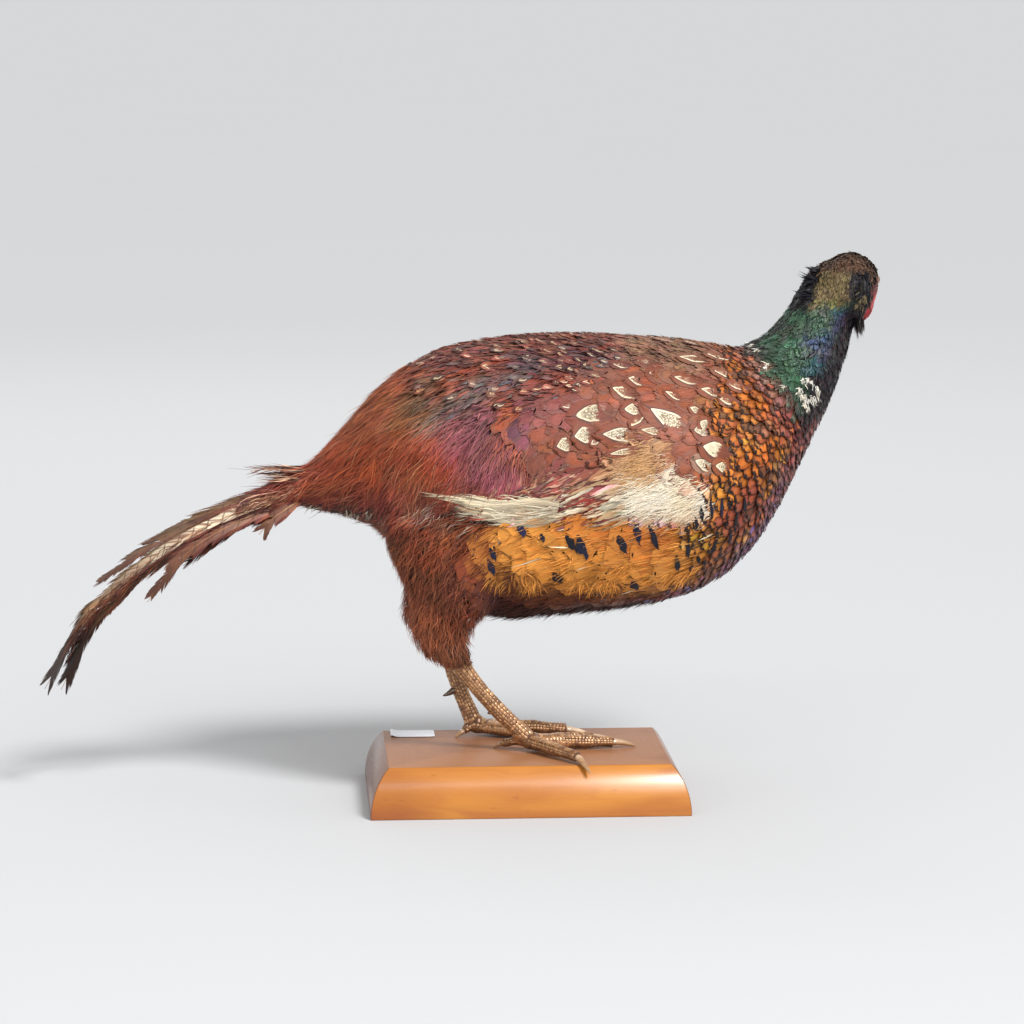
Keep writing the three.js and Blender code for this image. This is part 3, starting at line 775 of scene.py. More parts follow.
def vanes(coat, roots, dice, length, half, tint, mark, shape="round", rows=7, cols=5, depth=3.0, lift=0.2,
          camber=0.4, follow=0.6, way=None, spread=0.12, ragged=0.06, raised=0.0, close=True, spine=None,
          vary=0.15, curl=0.16):
    """Contour feathers: each lies along the surface, root deep and tip on top of the next one."""
    surface, n = MADE["coat"], len(roots)
    if not n:
        return
    t = np.array(ROWS[rows])
    a = np.linspace(-1, 1, cols)
    length = np.broadcast_to(length, n) * dice.uniform(1 - vary, 1 + vary, n) * MM
    half = np.broadcast_to(half, n) * dice.uniform(1 - vary, 1 + vary, n) * MM
    if spine is None:
        spine, normal, course = run_along(surface, roots, dice, length, t, way, spread, follow)
    else:
        normal = surface.meet(spine)[1]
        course = flat_on(np.gradient(spine, axis=1), normal)
    side = np.cross(normal, course)
    width = half[:, None] * outline(t, shape)
    uneven = 1 + dice.normal(0, ragged, (n, rows, cols)) * (t[None, :, None] > 0.3)
    reachout = a[None, None] * width[:, :, None] * uneven
    grid = spine[:, :, None] + side[:, :, None] * reachout[..., None]
    if close:
        foot, out = surface.meet(grid)
    else:
        foot, out = grid, np.broadcast_to(normal[:, :, None], grid.shape)
    rise = -depth * (1 - t) ** 1.1 + lift * t**3
    bow = -camber * a[None] ** 2 * np.sin(np.pi * np.clip(t, 0.05, 0.8))[:, None]
    loft = (rise[:, None] + bow)[None] + dice.normal(0, 0.16, (n, 1, 1)) + raised
    bend = dice.normal(0, curl, (n, 1, 1)) * t[None, :,
                                               None] ** 4 + dice.normal(0, curl * 0.4, (n, rows, cols))
    jag = dice.normal(0, ragged, (n, 1, cols)) * t[None, :, None] ** 6
    made = foot + out * ((loft + bend) * MM)[..., None]
    made = made + course[:, :, None] * (jag * length[:, None, None])[..., None]
    vane = np.broadcast_to(np.stack(np.meshgrid(0.5 + 0.5 * a, t), -1), (n, rows, cols, 2))
    from_tip = (1 - t)[None, :, None] * (length / half)[:, None, None]
    from_edge = (1 - np.abs(a))[None, None] * outline(t, shape)[None, :, None]
    rim = np.minimum(np.broadcast_to(from_edge, (n, rows, cols)), from_tip)
    coat.add(made, tint, mark, vane, rim, dice.random(n), unwrapped(roots))


def strands(coat, roots, dice, length, tint, mark, count=5, spread=0.5, width=0.9, depth=4.0, rise=1.0,
            cling=1.0, steps=7, turn=0.2, wave=0.06, way=None, jitter=0.16, sag=0.0, follow=0.7, away=None):
    """Loose barbs: each root sends out a fan of fine blades along the lie of the coat, or free of it."""
    surface, n = MADE["coat"], len(roots)
    if not n:
        return
    t = np.linspace(0, 1, steps)
    length = np.broadcast_to(length, n) * dice.uniform(0.8, 1.15, n) * MM
    p, out = surface.meet(roots) if away is None else (roots, np.broadcast_to(away, roots.shape))
    d = flat_on(lie(p) if way is None else way, out)
    angle = dice.normal(0, turn, n)[:, None]
    d = d * np.cos(angle) + np.cross(out, d) * np.sin(angle)
    hold = np.broadcast_to(cling, n)[:, None]
    run = [(p, out, d)]
    for _ in range(steps - 1):
        q = p + d * (length / (steps - 1))[:, None]
        foot, away = surface.meet(q)
        p = q + (foot - q) * hold
        out = unit(out * (1 - hold) + away * hold)
        d = flat_on(d + [0, 0, -sag], out)
        if follow:
            d = flat_on(d * (1 - follow * 0.4) + flat_on(lie(p), out) * follow * 0.4, out)
        run.append((p, out, d))
    spine, normal, course = (np.stack(v, 1) for v in zip(*run))
    side = np.cross(normal, course)
    lean = np.linspace(-1, 1, count) if count > 1 else np.zeros(1)
    row = np.arange(n)[:, None]
    made, views, shades = [], [], []
    for m in range(count):
        fan = (lean[m] + dice.normal(0, 0.25, n)) * spread
        swing = dice.normal(0, wave, (n, 2))
        across = fan[:, None] * t**0.8 * 0.5 + swing[:, :1] * np.sin(t * 5 + 1) + swing[:, 1:] * t**2
        pick = t * dice.uniform(0.62, 1.0, n)[:, None] * (steps - 1)
        low = np.minimum(pick.astype(int), steps - 2)
        f = (pick - low)[..., None]
        line = spine[row, low] * (1 - f) + spine[row, low + 1] * f
        loft = -depth * (1 - t) ** 1.3 + rise * dice.gamma(2.0, 0.5, n)[:, None] * t**1.6
        loft = loft + dice.normal(0, 0.25, n)[:, None]
        line = line + side * (across * length[:, None])[..., None] + normal * (loft * MM)[..., None]
        blade = width * MM * (0.55 + 0.45 * np.sin(np.pi * np.clip(t + 0.15, 0,
                                                                   1))) * np.clip(1.08 - t**3, 0.1, 1)
        tilt = dice.normal(0, 0.5, n)[:, None]
        edge = (side * np.cos(tilt)[..., None] + normal * np.sin(tilt)[..., None]) * (blade[:, None] / 2)
        made.append(np.stack([line - edge, line + edge], 2))
        u = np.array([m + 0.1, m + 0.9]) / count
        views.append(np.broadcast_to(np.stack(np.meshgrid(u, t), -1), (n, steps, 2, 2)))
        shades.append(np.exp(dice.normal(0, jitter, n)))
    points = np.concatenate(made)
    shade = np.concatenate(shades)[:, None]
    coat.add(points, np.tile(tint, (count, 1)) * shade, np.tile(mark, (count, 1)) * shade,
             np.concatenate(views), np.ones(points.shape[:3]), np.tile(dice.random(n), count),
             np.tile(unwrapped(roots), (count, 1)))


def coloured(points, dice, spread=0.12, hue=0.05):
    """The coat's own colour at each root, a little different from one feather to the next."""
    n = len(points)
    return coat_colours(points) * np.exp(dice.normal(0, spread, (n, 1)) + dice.normal(0, hue, (n, 3)))


# ---- shaders ----
class Socket:
    """A socket that takes part in sums: each sum adds its Math node."""

    def __init__(self, recipe, socket):
        self.recipe, self.socket = recipe, socket

    def sum(self, operation, *values):
        """What a Math node makes of these values."""
        node = self.recipe.tree.nodes.new("ShaderNodeMath")
        node.operation = operation
        for slot, value in zip(node.inputs, values):
            self.recipe.feed(slot, value)
        return Socket(self.recipe, node.outputs[0])

    def __add__(self, other):
        return self.sum("ADD", self, other)

    def __sub__(self, other):
        return self.sum("SUBTRACT", self, other)

    def __rsub__(self, other):
        return self.sum("SUBTRACT", other, self)

    def __mul__(self, other):
        return self.sum("MULTIPLY", self, other)

    def __pow__(self, other):
        return self.sum("POWER", self, other)

    def __abs__(self):
        return self.sum("ABSOLUTE", self)

    __radd__ = __add__
    __rmul__ = __mul__

    def least(self, other):
        return self.sum("MINIMUM", self, other)

    def most(self, other):
        return self.sum("MAXIMUM", self, other)

    def part(self):
        return self.sum("FRACT", self)

    def between(self, low, high):
        """0 below low, 1 above high, and smooth between; low may be the greater."""
        made = self.recipe.node("ShaderNodeMapRange", dict(interpolation_type="SMOOTHSTEP"), {
            "Value": self, "From Min": low, "From Max": high})
        return Socket(self.recipe, made.outputs[0])


class Recipe:
    """A material made of nodes."""

    def __init__(self, name, **uniform):
        self.material = bpy.data.materials.new(name)
        self.material.use_nodes = True
        self.tree = self.material.node_tree
        self.tree.nodes.clear()
        self.shader = self.tree.nodes.new("ShaderNodeBsdfPrincipled")
        end = self.tree.nodes.new("ShaderNodeOutputMaterial")
        self.tree.links.new(self.shader.outputs[0], end.inputs["Surface"])
        for key, value in uniform.items():
            self.shader.inputs[key.replace("_", " ")].default_value = value

    def feed(self, slot, value):
        if isinstance(value, Socket):
            self.tree.links.new(value.socket, slot)
        else:
            if slot.type == "RGBA" and len(value) == 3:
                value = (*value, 1)
            slot.default_value = value

    def node(self, kind, settings=None, inputs=None):
        made = self.tree.nodes.new(kind)
        for key, value in (settings or {}).items():
            setattr(made, key, value)
        for key, value in (inputs or {}).items():
            self.feed(made.inputs[key], value)
        return made

    def take(self, kind, output=0, settings=None, inputs=None):
        return Socket(self, self.node(kind, settings, inputs).outputs[output])

    def colour_of(self, name):
        return self.take("ShaderNodeAttribute", "Color", dict(attribute_name=name,
                                                              attribute_type="GEOMETRY"))

    def value_of(self, name):
        return self.take("ShaderNodeAttribute", "Fac", dict(attribute_name=name, attribute_type="GEOMETRY"))

    def places(self):
        return self.take("ShaderNodeTexCoord", "Object")

    def map_of(self, name):
        """The two ways across a UV map."""
        return self.parts(self.take("ShaderNodeUVMap", 0, dict(uv_map=name)))[:2]

    def parts(self, vector):
        split = self.node("ShaderNodeSeparateXYZ", None, {0: vector})
        return [Socket(self, split.outputs[k]) for k in range(3)]

    def vector(self, x, y, z=0.0):
        return self.take("ShaderNodeCombineXYZ", 0, None, {0: x, 1: y, 2: z})

    def scaled(self, vector, scale):
        return self.take("ShaderNodeVectorMath", 0, dict(operation="MULTIPLY"), {0: vector, 1: scale})

    def noise(self, vector, scale, detail=2.0, rough=0.5, bend=0.0):
        return self.take("ShaderNodeTexNoise", 0, None, {
            "Vector": vector, "Scale": scale, "Detail": detail, "Roughness": rough, "Distortion": bend})

    def mix(self, share, a, b, kind="MIX"):
        made = self.tree.nodes.new("ShaderNodeMix")
        made.data_type, made.blend_type = "RGBA", kind
        self.feed(made.inputs[0], share)
        self.feed(made.inputs[6], a)
        self.feed(made.inputs[7], b)
        return Socket(self, made.outputs[2])

    def shaded(self, share, colour, by):
        """The colour, multiplied by another as far as share says."""
        return self.mix(share, colour, self.mix(1.0, colour, by, "MULTIPLY"))

    def bump(self, height, strength=0.5, distance=0.001):
        made = self.take("ShaderNodeBump", 0, None, {"Height": height, "Strength": strength,
                                                     "Distance": distance})
        self.feed(self.shader.inputs["Normal"], made)

    def finish(self, colour, roughness=None):
        self.feed(self.shader.inputs["Base Color"], colour)
        if roughness is not None:
            self.feed(self.shader.inputs["Roughness"], roughness)
        return self.material


def barbs(r, u, v, fate, fine=60.0):
    """Fine lines that run out from the shaft towards the tip."""
    across = abs(u - 0.5)
    run = v * 1.5 - across * 1.1
    return r.noise(r.vector(run * fine, across * 3, fate * 90), 1.0, 2.0, 0.6)


def feather(name, pattern, fine=34.0, deep=0.5, **uniform):
    """A vane: its ground colour, its pattern, its barbs with painted highlights, its shaft, and painted
    shade towards its root.
    """
    uniform = {"Roughness": 0.5, "Specular_IOR_Level": 0.28, "Sheen_Weight": 0.06, "Sheen_Roughness": 0.4,
               **uniform}
    r = Recipe(name, **uniform)
    u, v = r.map_of("vane")
    fate, rim = r.value_of("fate"), r.value_of("rim")
    ground, mark = r.colour_of("tint"), r.colour_of("mark")
    lines = barbs(r, u, v, fate, fine)
    across = abs(u - 0.5)
    colour = pattern(r, u, v, across, rim, fate, ground, mark, lines)
    colour = r.shaded(lines.between(0.55, 0.3) * 0.55, colour, (0.5, 0.42, 0.38))
    # paler barb streaks: painted highlight along the barbs
    colour = r.shaded(lines.between(0.55, 0.75) * 0.5, colour, (1.45, 1.38, 1.3))
    # painted shade towards the root, where the vane lies under the feathers over it; deep sets how strong
    colour = r.shaded(v.between(0.7, 0.1) * deep, colour, (0.36, 0.3, 0.28))
    shaft = across.between(0.03, 0.012) * v.between(0.98, 0.8)
    colour = r.shaded(shaft * 0.2, colour, (1.5, 1.4, 1.3))
    r.bump(lines + shaft * 0.6, 0.3, 0.0004)
    return r.finish(colour)


def plain_pattern(r, u, v, across, rim, fate, ground, mark, lines):
    return r.mix((rim + (lines - 0.5) * 0.3).between(0.2, 0.0) * 0.6, ground, mark)


def scallop_pattern(r, u, v, across, rim, fate, ground, mark, lines):
    """A dark crescent round the tip, deepest at the shaft, and a paler middle, painted as a highlight."""
    depth = 0.14 + across.between(0.34, 0.0) * 0.26 + (fate - 0.5) * 0.2
    edge = (rim - depth + (lines - 0.5) * 0.4).between(0.1, -0.05) * v.between(0.45, 0.6)
    # painted highlight in the middle of the vane, standing in for its golden glints
    painted_highlight = (v.between(0.45, 0.66) * across.between(0.45, 0.05)) * 0.85
    pale = r.shaded(painted_highlight, ground, (1.8, 2.15, 2.7))
    return r.mix(edge, pale, mark)


def bordered_pattern(r, u, v, across, rim, fate, ground, mark, lines):
    """A soft mauve border with a thin dark line inside it."""
    uneven = (r.noise(r.vector(u * 5, v * 5, fate * 30), 1.0, 3.0, 0.6) - 0.5) * 0.3 + (lines - 0.5) * 0.16
    inside = rim + uneven
    border = inside.between(0.34, 0.26) * v.between(0.35, 0.6)
    line = inside.between(0.5, 0.36) * inside.between(0.24,
                                                      0.32) * v.between(0.4, 0.6) * fate.between(0.15, 0.6)
    middle = r.shaded(inside.between(0.5, 0.8) * 0.3, ground, (1.35, 1.4, 1.4))
    return r.mix(line * 0.4, r.mix(border * 0.7, middle, mark), (0.045, 0.022, 0.02))


def arched(v, across, tip=0.86, slope=3.4, half=0.56):
    """Distance inside a pointed arch that stands back from the feather's tip."""
    rise = ((tip - v) * slope).most(0.0) ** 0.62 * half
    return rise.least(half) - across * 2


def oval_pattern(r, u, v, across, rim, fate, ground, mark, lines):
    """A pale pointed arch with dark frets and a thin dark border, in a broad plain margin."""
    uneven = r.noise(r.vector(u * 3, v * 4, fate * 40), 1.0, 2.0) - 0.5
    inner = arched(v, across) + uneven * 0.12
    torn = r.noise(r.vector(u * 16, v * 2.5, fate * 20), 1.0, 3.0, 0.65)
    far = (v + (torn - 0.5) * 0.5 + (u - 0.5) * (fate - 0.5) * 0.6).between(0.38, 0.46)
    inside = inner.between(0.0, 0.04) * far
    border = (inner + (u - 0.5) * 0.14).between(-0.2, -0.06) * inner.between(0.02, -0.02) * far
    fret = r.noise(r.vector(across * 20 + v * 8, v * 34, fate * 50), 1.0, 3.0, 0.6, 1.0).between(0.44, 0.52)
    room = inner.between(0.08, 0.2) * (v - fate * 0.12).between(0.8,
                                                                0.66) * (fate * 2.6 - 0.1).between(0.0, 0.7)
    pale = r.mix(fret * room * 0.85, mark, (0.1, 0.065, 0.035))
    margin = r.shaded(rim.between(0.12, 0.0) * 0.4, ground, (0.62, 0.6, 0.72))
    return r.mix(border * v.between(0.4, 0.6) * 0.7, r.mix(inside, margin, pale), (0.05, 0.034, 0.03))


def vee_pattern(r, u, v, across, rim, fate, ground, mark, lines):
    """A pale arrowhead line inside the margin, one arm longer, with a few frets between."""
    uneven = r.noise(r.vector(u * 3, v * 5, fate * 60), 1.0, 2.0) - 0.5
    inner = arched(v, across, 0.88, 3.0, 0.58) + uneven * 0.14
    arm = (u + (fate - 0.5) * 0.6).between(0.3, 0.7) * 0.4 + 0.12
    far = (v - 1 + arm * 1.6 + uneven * 0.2).between(0.0, 0.12)
    line = inner.between(0.0, 0.03) * inner.between(0.26 * far + 0.03, 0.13 * far) * far.between(0.0, 0.2)
    fret = r.noise(r.vector(across * 22, v * 30, fate * 50), 1.0, 2.0, 0.6, 1.0).between(0.54, 0.6)
    frets = fret * inner.between(0.2, 0.3) * v.between(0.45, 0.55) * 0.7
    dark = (inner + (u - 0.5) * 0.1).between(-0.18, -0.06) * inner.between(0.02, -0.02) * far
    return r.mix(line.most(frets), r.mix(dark * 0.6, ground, (0.04, 0.03, 0.028)), mark)


def streak_pattern(r, u, v, across, rim, fate, ground, mark, lines):
    """Pale streaks along one side of the shaft, broken up."""
    one_side = (u + (fate - 0.5) * 0.5).between(0.5, 0.62)
    middle = across.between(0.12, 0.05)
    break_up = r.noise(r.vector(u * 3.5, v * 3.2, fate * 70), 1.0, 2.0).between(0.48, 0.54)
    return r.mix((one_side.most(middle) * break_up) * v.between(0.2, 0.4), ground, mark)


def quill_pattern(r, u, v, across, rim, fate, ground, mark, lines):
    """Smooth pale vane with a few parted, greyer lines."""
    parted = r.noise(r.vector(u * 14 + v * 3, v * 1.6, fate * 30), 1.0, 3.0, 0.6).between(0.54, 0.62)
    shade = r.noise(r.vector(u * 1.5, v * 3, fate * 10), 1.0, 2.0).between(0.4, 0.7)
    return r.mix(parted * 0.85, r.mix(shade * 0.45, ground, mark), mark)


def tail_pattern(r, u, v, across, rim, fate, ground, mark, lines):
    """A pale stripe beside the shaft with thin dark bars, and finely pencilled vanes."""
    wander = r.noise(r.vector(v * 14, u * 2, fate * 9), 1.0, 2.0) - 0.5
    stripe = (across + wander * 0.16 + (lines - 0.5) * 0.1).between(0.36, 0.24)
    tilt = v * 18.5 + (u - 0.5) * 0.9 + wander * 0.25
    bars = abs(tilt.part() - 0.5).between(0.08, 0.03) * (across + wander * 0.2).between(0.36, 0.2)
    pencil = r.noise(r.vector(v * 260 + across * 50, across * 5, fate * 3), 1.0, 3.0, 0.6).between(0.5, 0.6)
    shade = r.noise(r.vector(v * 30, u * 5, fate * 7), 1.0, 2.0).between(0.4, 0.65)
    vane = r.shaded(pencil * 0.55, ground, (0.35, 0.28, 0.27))
    vane = r.shaded(shade * 0.3, vane, (1.5, 1.4, 1.35))
    pale = r.shaded(pencil * 0.3, mark, (0.6, 0.42, 0.36))
    colour = r.mix(bars * 0.75, r.mix(stripe, vane, pale), (0.09, 0.045, 0.034))
    return r.mix(rim.between(0.25, 0.12) * stripe * 0.85, colour, ground)


def strand_material(name, **uniform):
    """Loose barbs: darker at the root as painted shade, paler towards the tip."""
    uniform = {"Roughness": 0.48, "Specular_IOR_Level": 0.3, "Sheen_Weight": 0.06, "Sheen_Roughness": 0.35,
               **uniform}
    r = Recipe(name, **uniform)
    u, v = r.map_of("vane")
    ground, mark = r.colour_of("tint"), r.colour_of("mark")
    colour = r.mix(v.between(0.35, 0.95), ground, mark)
    # painted shade towards the root, where the barbs go in among the coat
    colour = r.shaded(v.between(0.5, 0.0) * 0.6, colour, (0.4, 0.32, 0.3))
    r.bump(r.noise(r.vector(u * 30, v * 3, 0.0), 2.0, 2.0), 0.3, 0.0004)
    return r.finish(colour)


def coat_materials():
    """Every kind of feather, by the name that the coats ask for it."""
    satin = dict(Roughness=0.42)
    glossy = dict(Metallic=0.35, Roughness=0.4, Specular_IOR_Level=0.5)
    return dict(
        plain=feather("plain_feathers", plain_pattern),
        scallop=feather("scalloped_feathers", scallop_pattern, 34.0, 0.6, Specular_IOR_Level=0.2),
        oval=feather("oval_feathers", oval_pattern),
        vee=feather("edged_feathers", vee_pattern),
        streak=feather("streaked_feathers", streak_pattern),
        quill=feather("quill_feathers", quill_pattern, 80.0),
        gloss=feather("glossy_feathers", plain_pattern, 30.0, 0.25, **glossy),
        soft=feather("soft_feathers", plain_pattern, 20.0),
        bordered=feather("bordered_feathers", bordered_pattern, 46.0, 0.2, **satin),
        silky=feather("silky_feathers", plain_pattern, 46.0, 0.2, **satin),
        strand=strand_material("loose_barbs"),
        tail=feather("tail_barbs", tail_pattern, 40.0, 0.0),
    )


# ---- the bird's own surfaces ----
FEATHERED = ("trunk", "neck", "head", "wing_left", "wing_right", "thigh_left", "thigh_right")
BARE = ("wattle_left", "wattle_right", "tarsus_left", "tarsus_right", "foot_left", "foot_right")


def tube(line, wide, tall, side, around=16):
    """Rings round a line: half width along side, half height square to it; closed at both ends."""
    line = np.asarray(line, float)
    way = unit(np.gradient(line, axis=0))
    side = flat_on(np.broadcast_to(side, line.shape), way)
    up = np.cross(way, side)
    angle = np.linspace(0, 2 * math.pi, around, endpoint=False)
    wide, tall = (np.broadcast_to(v, len(line))[:, None, None] for v in (wide, tall))
    ring = line[:, None] + side[:, None] * np.cos(angle)[None, :, None] * wide
    ring = ring + up[:, None] * np.sin(angle)[None, :, None] * tall
    points = np.concatenate([ring.reshape(-1, 3), line[:1], line[-1:]])
    n, faces = len(line), []
    for i in range(n - 1):
        for j in range(around):
            k = (j + 1) % around
            faces.append((i * around + j, i * around + k, (i + 1) * around + k, (i + 1) * around + j))
    for j in range(around):
        k = (j + 1) % around
        faces.append((n * around, k, j))
        faces.append((n * around + 1, (n - 1) * around + j, (n - 1) * around + k))
    return points, faces


def joined(*pieces):
    clear_choice()
    for piece in pieces:
        piece.select_set(True)
    bpy.context.view_layer.objects.active = pieces[0]
    bpy.ops.object.join()
    return pieces[0]


def coat_surface():
    """The outer surface that the tips of the coat lie in."""
    stub = spline([(-118, 16, 208), (-140, 16, 203), (-165, 16, 194), (-188, 16, 184)],
                  np.linspace(0, 1, 12)) * MM
    t = np.linspace(0, 1, 12)
    points, faces = tube(stub, (20 - 13 * t) * MM, (15 - 10.5 * t) * MM, (0, 1, 0))
    outer = joined(copy_of(*FEATHERED, swell=0.5 * MM), put("stub", points, faces))
    modify(outer, "REMESH", mode="VOXEL", voxel_size=2.4 * MM)
    outer = biggest_shell(outer)
    modify(outer, "SMOOTH", factor=0.5, iterations=7)
    outer.name = "coat_surface"
    return outer


def leg_share(points):
    """1 on the bare leg, 0 above its feathers' end."""
    return ease(100, 92, points[:, 2] / MM)


def wattle_share(points):
    """1 on the bare red face: wide on the near cheek, a slanting strip on the other."""
    local = on_head(points) / MM
    along, side, up = local.T
    ragged = (mottle(points, 4 * MM, 12) - 0.5) * 5
    cheek = ease(1.1, 0.94, np.hypot((along - 7.5) / 12.5, (up + 9) / 17) + ragged * 0.06)
    behind = along + 12 + (up + 3) * 0.6 + ragged
    below = 0.4 * (along + 10) - 1 - up + ragged
    strip = ease(-1, 1, behind) * ease(-1, 1, below) * ease(-25, -22, up) * ease(21, 19, along)
    return np.where(side < 0, strip, cheek) * ease(5.5, 8.5, np.abs(side))


def wattle_red(points):
    """Red of the bare face: brown above, bright at its lower end."""
    local = on_head(points) / MM
    return blend_of(np.array(dye(118, 40, 34)), np.array(dye(196, 36, 44)), ease(-4, -16, local[:, 2]))


def skin_colours(points):
    tone = coat_colours(points) * 0.75
    fine = mottle(points, 2.2 * MM, 9)
    tone = blend_of(tone, wattle_red(points) * (0.7 + 0.3 * fine)[:, None], wattle_share(points))
    bronze = blend_of(np.array(dye(150, 107, 70)), np.array(dye(104, 70, 45)), ease(0.3, 0.7, fine))
    return blend_of(tone, bronze, leg_share(points))


def skin_material():
    r = Recipe("skin", Roughness=0.5, Specular_IOR_Level=0.4)
    place = r.places()
    cells = r.take("ShaderNodeTexVoronoi", 0, dict(feature="DISTANCE_TO_EDGE"),
                   {"Vector": place, "Scale": 620.0})
    grain = r.noise(place, 900.0, 3.0, 0.6)
    tone = r.mix(grain.between(0.35, 0.65) * 0.5, r.colour_of("tint"),
                 r.mix(1.0, r.colour_of("tint"), (0.5, 0.45, 0.42), "MULTIPLY"))
    seam = cells.between(0.0, 0.16)
    tone = r.shaded((1 - seam) * 0.55, tone, (0.35, 0.3, 0.28))
    r.bump(seam + grain * 0.3, 0.6, 0.0006)
    return r.finish(tone, 0.42 + grain * 0.25)


def grow_skin(grain):
    """One skin under the coat, down to the bare face, legs and feet."""
    outer = coat_surface()
    MADE["coat"] = Surface(outer)
    outer_points, outer_normals = mesh_points(outer), mesh_normals(outer)
    move_points(outer, outer_points - outer_normals * coat_depth(outer_points)[:, None])
    cheeks = copy_of(*BARE[:2])
    local = on_head(mesh_points(cheeks))
    middle = np.array([WATTLE["along"], 0, WATTLE["up"]])
    local = middle + (local - middle) * [0.86, 1, 0.86]
    local[:, 1] = np.sign(local[:, 1]) * np.maximum(np.abs(local[:, 1]) - 3.2 * MM, 0)
    move_points(cheeks, head_points(local))
    skin = joined(outer, cheeks, copy_of(*BARE[2:], swell=0.15 * MM))
    modify(skin, "REMESH", mode="VOXEL", voxel_size=grain)
    skin = biggest_shell(skin)
    modify(skin, "SMOOTH", factor=0.5, iterations=2)
    dyed(skin.data, "tint", skin_colours(mesh_points(skin)))
    skin.data.polygons.foreach_set("use_smooth", np.ones(len(skin.data.polygons), bool))
    skin.data.materials.clear()
    finished(skin, "skin", skin_material(), "plumage", *FEATHERED, *BARE, "ear_tuft_left", "ear_tuft_right")
    MADE["skin"] = Surface(skin)


# ---- which feathers grow where ----
ORDER = ("primaries", "tan_down", "white_down", "coverts", "mantle", "scapular", "scallop", "flank", "back",
         "thigh", "rump", "belly")


def sorted_ground(points):
    """The name of the plumage at each place."""
    x, z = side_view(points)
    ragged = (mottle(points, 7 * MM, 6) - 0.5) * 7
    label = np.full(len(points), "breast", dtype="U12")
    free = np.ones(len(points), bool)
    over = neck_side(x, z) + ragged * 0.6
    local = on_head(points) / MM
    head = np.linalg.norm(local, axis=1) < 31
    neck = (over > 0) & ~head
    label[neck], label[head] = "neck", "head"
    free &= ~(neck | head)
    for name in ORDER:
        here = free & (reach(GROUND[name], x, z) + ragged > 0)
        label[here] = name
        free &= ~here
    stray = (label == "breast") & (x < 45)
    label[stray] = np.select([z[stray] > 200, z[stray] < 150, x[stray] < -28],
                             ["scapular", "belly", "thigh"], "flank")
    return label


def sow(dice):
    """Places for feathers all over the coat, and closer ones on the head."""
    cloud = MADE["coat"].sown(SOWN["body"], dice)
    cloud = cloud[cloud[:, 2] > COAT_END]
    MADE["cloud"], MADE["label"] = cloud, sorted_ground(cloud)
    fine = MADE["coat"].sown(SOWN["head"], dice)
    MADE["head_cloud"] = fine[np.linalg.norm(on_head(fine), axis=1) < HEAD_REACH]


def tones(points, dice, first, second, third=None, share=0.15, spread=0.12):
    """A colour to each feather: two dyes mixed in soft patches, with some of a third."""
    n = len(points)
    tone = blend_of(DYE[first], DYE[second],
                    np.clip(mottle(points, 14 * MM, 11) * 1.3 - 0.15 + dice.normal(0, 0.15, n), 0, 1))
    if third is not None:
        tone = blend_of(tone, DYE[third], (dice.random(n) < share) * 0.8)
    return tone * np.exp(dice.normal(0, spread, n))[:, None]


def laid(x, z, side):
    """Places on the flank of the bird at given places of the side view; side is -1 or 1."""
    tree = MADE["coat"].tree
    x, z = np.broadcast_arrays(np.asarray(x, float), np.asarray(z, float))
    at = np.stack([x * MM, np.full(x.shape, MIDDLE), z * MM], -1)
    made = []
    for p in at.reshape(-1, 3):
        place = tree.ray_cast(p + [0, side * 0.15, 0], (0, -side, 0))[0]
        made.append(tree.find_nearest(p)[0] if place is None else place)
    return np.array(made).reshape(at.shape)


def on_both(x, z):
    """The same places on both flanks, right one first."""
    return np.concatenate([laid(x, z, side) for side in SIDES])


def apart(points, gap, dice):
    """Those of the points that stand at least gap millimetres apart."""
    return points[thinned(points, gap * MM, dice)]


def keep(name, gap, dice):
    """Roots for one kind of plumage, gap millimetres apart."""
    return apart(MADE["cloud"][MADE["label"] == name], gap, dice)


# Marked feathers of the shoulder: tip of the mark, the way it points (degrees), its length and half height.
OVALS = [(29, 252.4, 192, 17.8, 6.0), (28, 241, 190, 10.5, 5.6), (16.7, 235, 195, 9, 4.6),
         (45, 242.8, 178, 21, 4.8), (59.5, 256.6, 185, 10.5, 4), (77.6, 260.5, 145, 26, 5.8),
         (102, 257.6, 160, 6, 2.6), (107.8, 249.2, 150, 6, 3.6), (103, 242.7, 185, 9, 4),
         (108.3, 233.5, 168, 13, 5), (102.3, 225, 160, 13, 3.8), (69.7, 245, 175, 14, 2.6),
         (49.8, 230, 190, 15, 1.9), (116, 222, 170, 9, 3.4)]


VEES = [(53.8, 273, 155, 11, 4.4), (63.8, 276.8, 165, 9, 4.2), (77.2, 276.6, 182, 12, 5.3),
        (93.3, 275.8, 170, 13, 3.4), (88, 269, 150, 8.5, 2.6), (98.4, 284.8, 180, 12, 3.4),
        (85.5, 293, 185, 11, 2.8), (117, 285, 180, 11, 3), (120, 278, 172, 11, 3.2),
        (44.7, 261.3, 150, 5, 2.2), (38, 236, 220, 5, 2), (110, 268, 170, 11, 3.4), (104, 292, 182, 9, 2.6),
        (128, 270, 176, 9, 3), (71, 285, 178, 9, 3), (64, 246, 230, 8, 2.6), (121, 262, 172, 8, 3),
        (55, 284, 175, 8, 2.6), (21, 258, 200, 7, 2.4)]
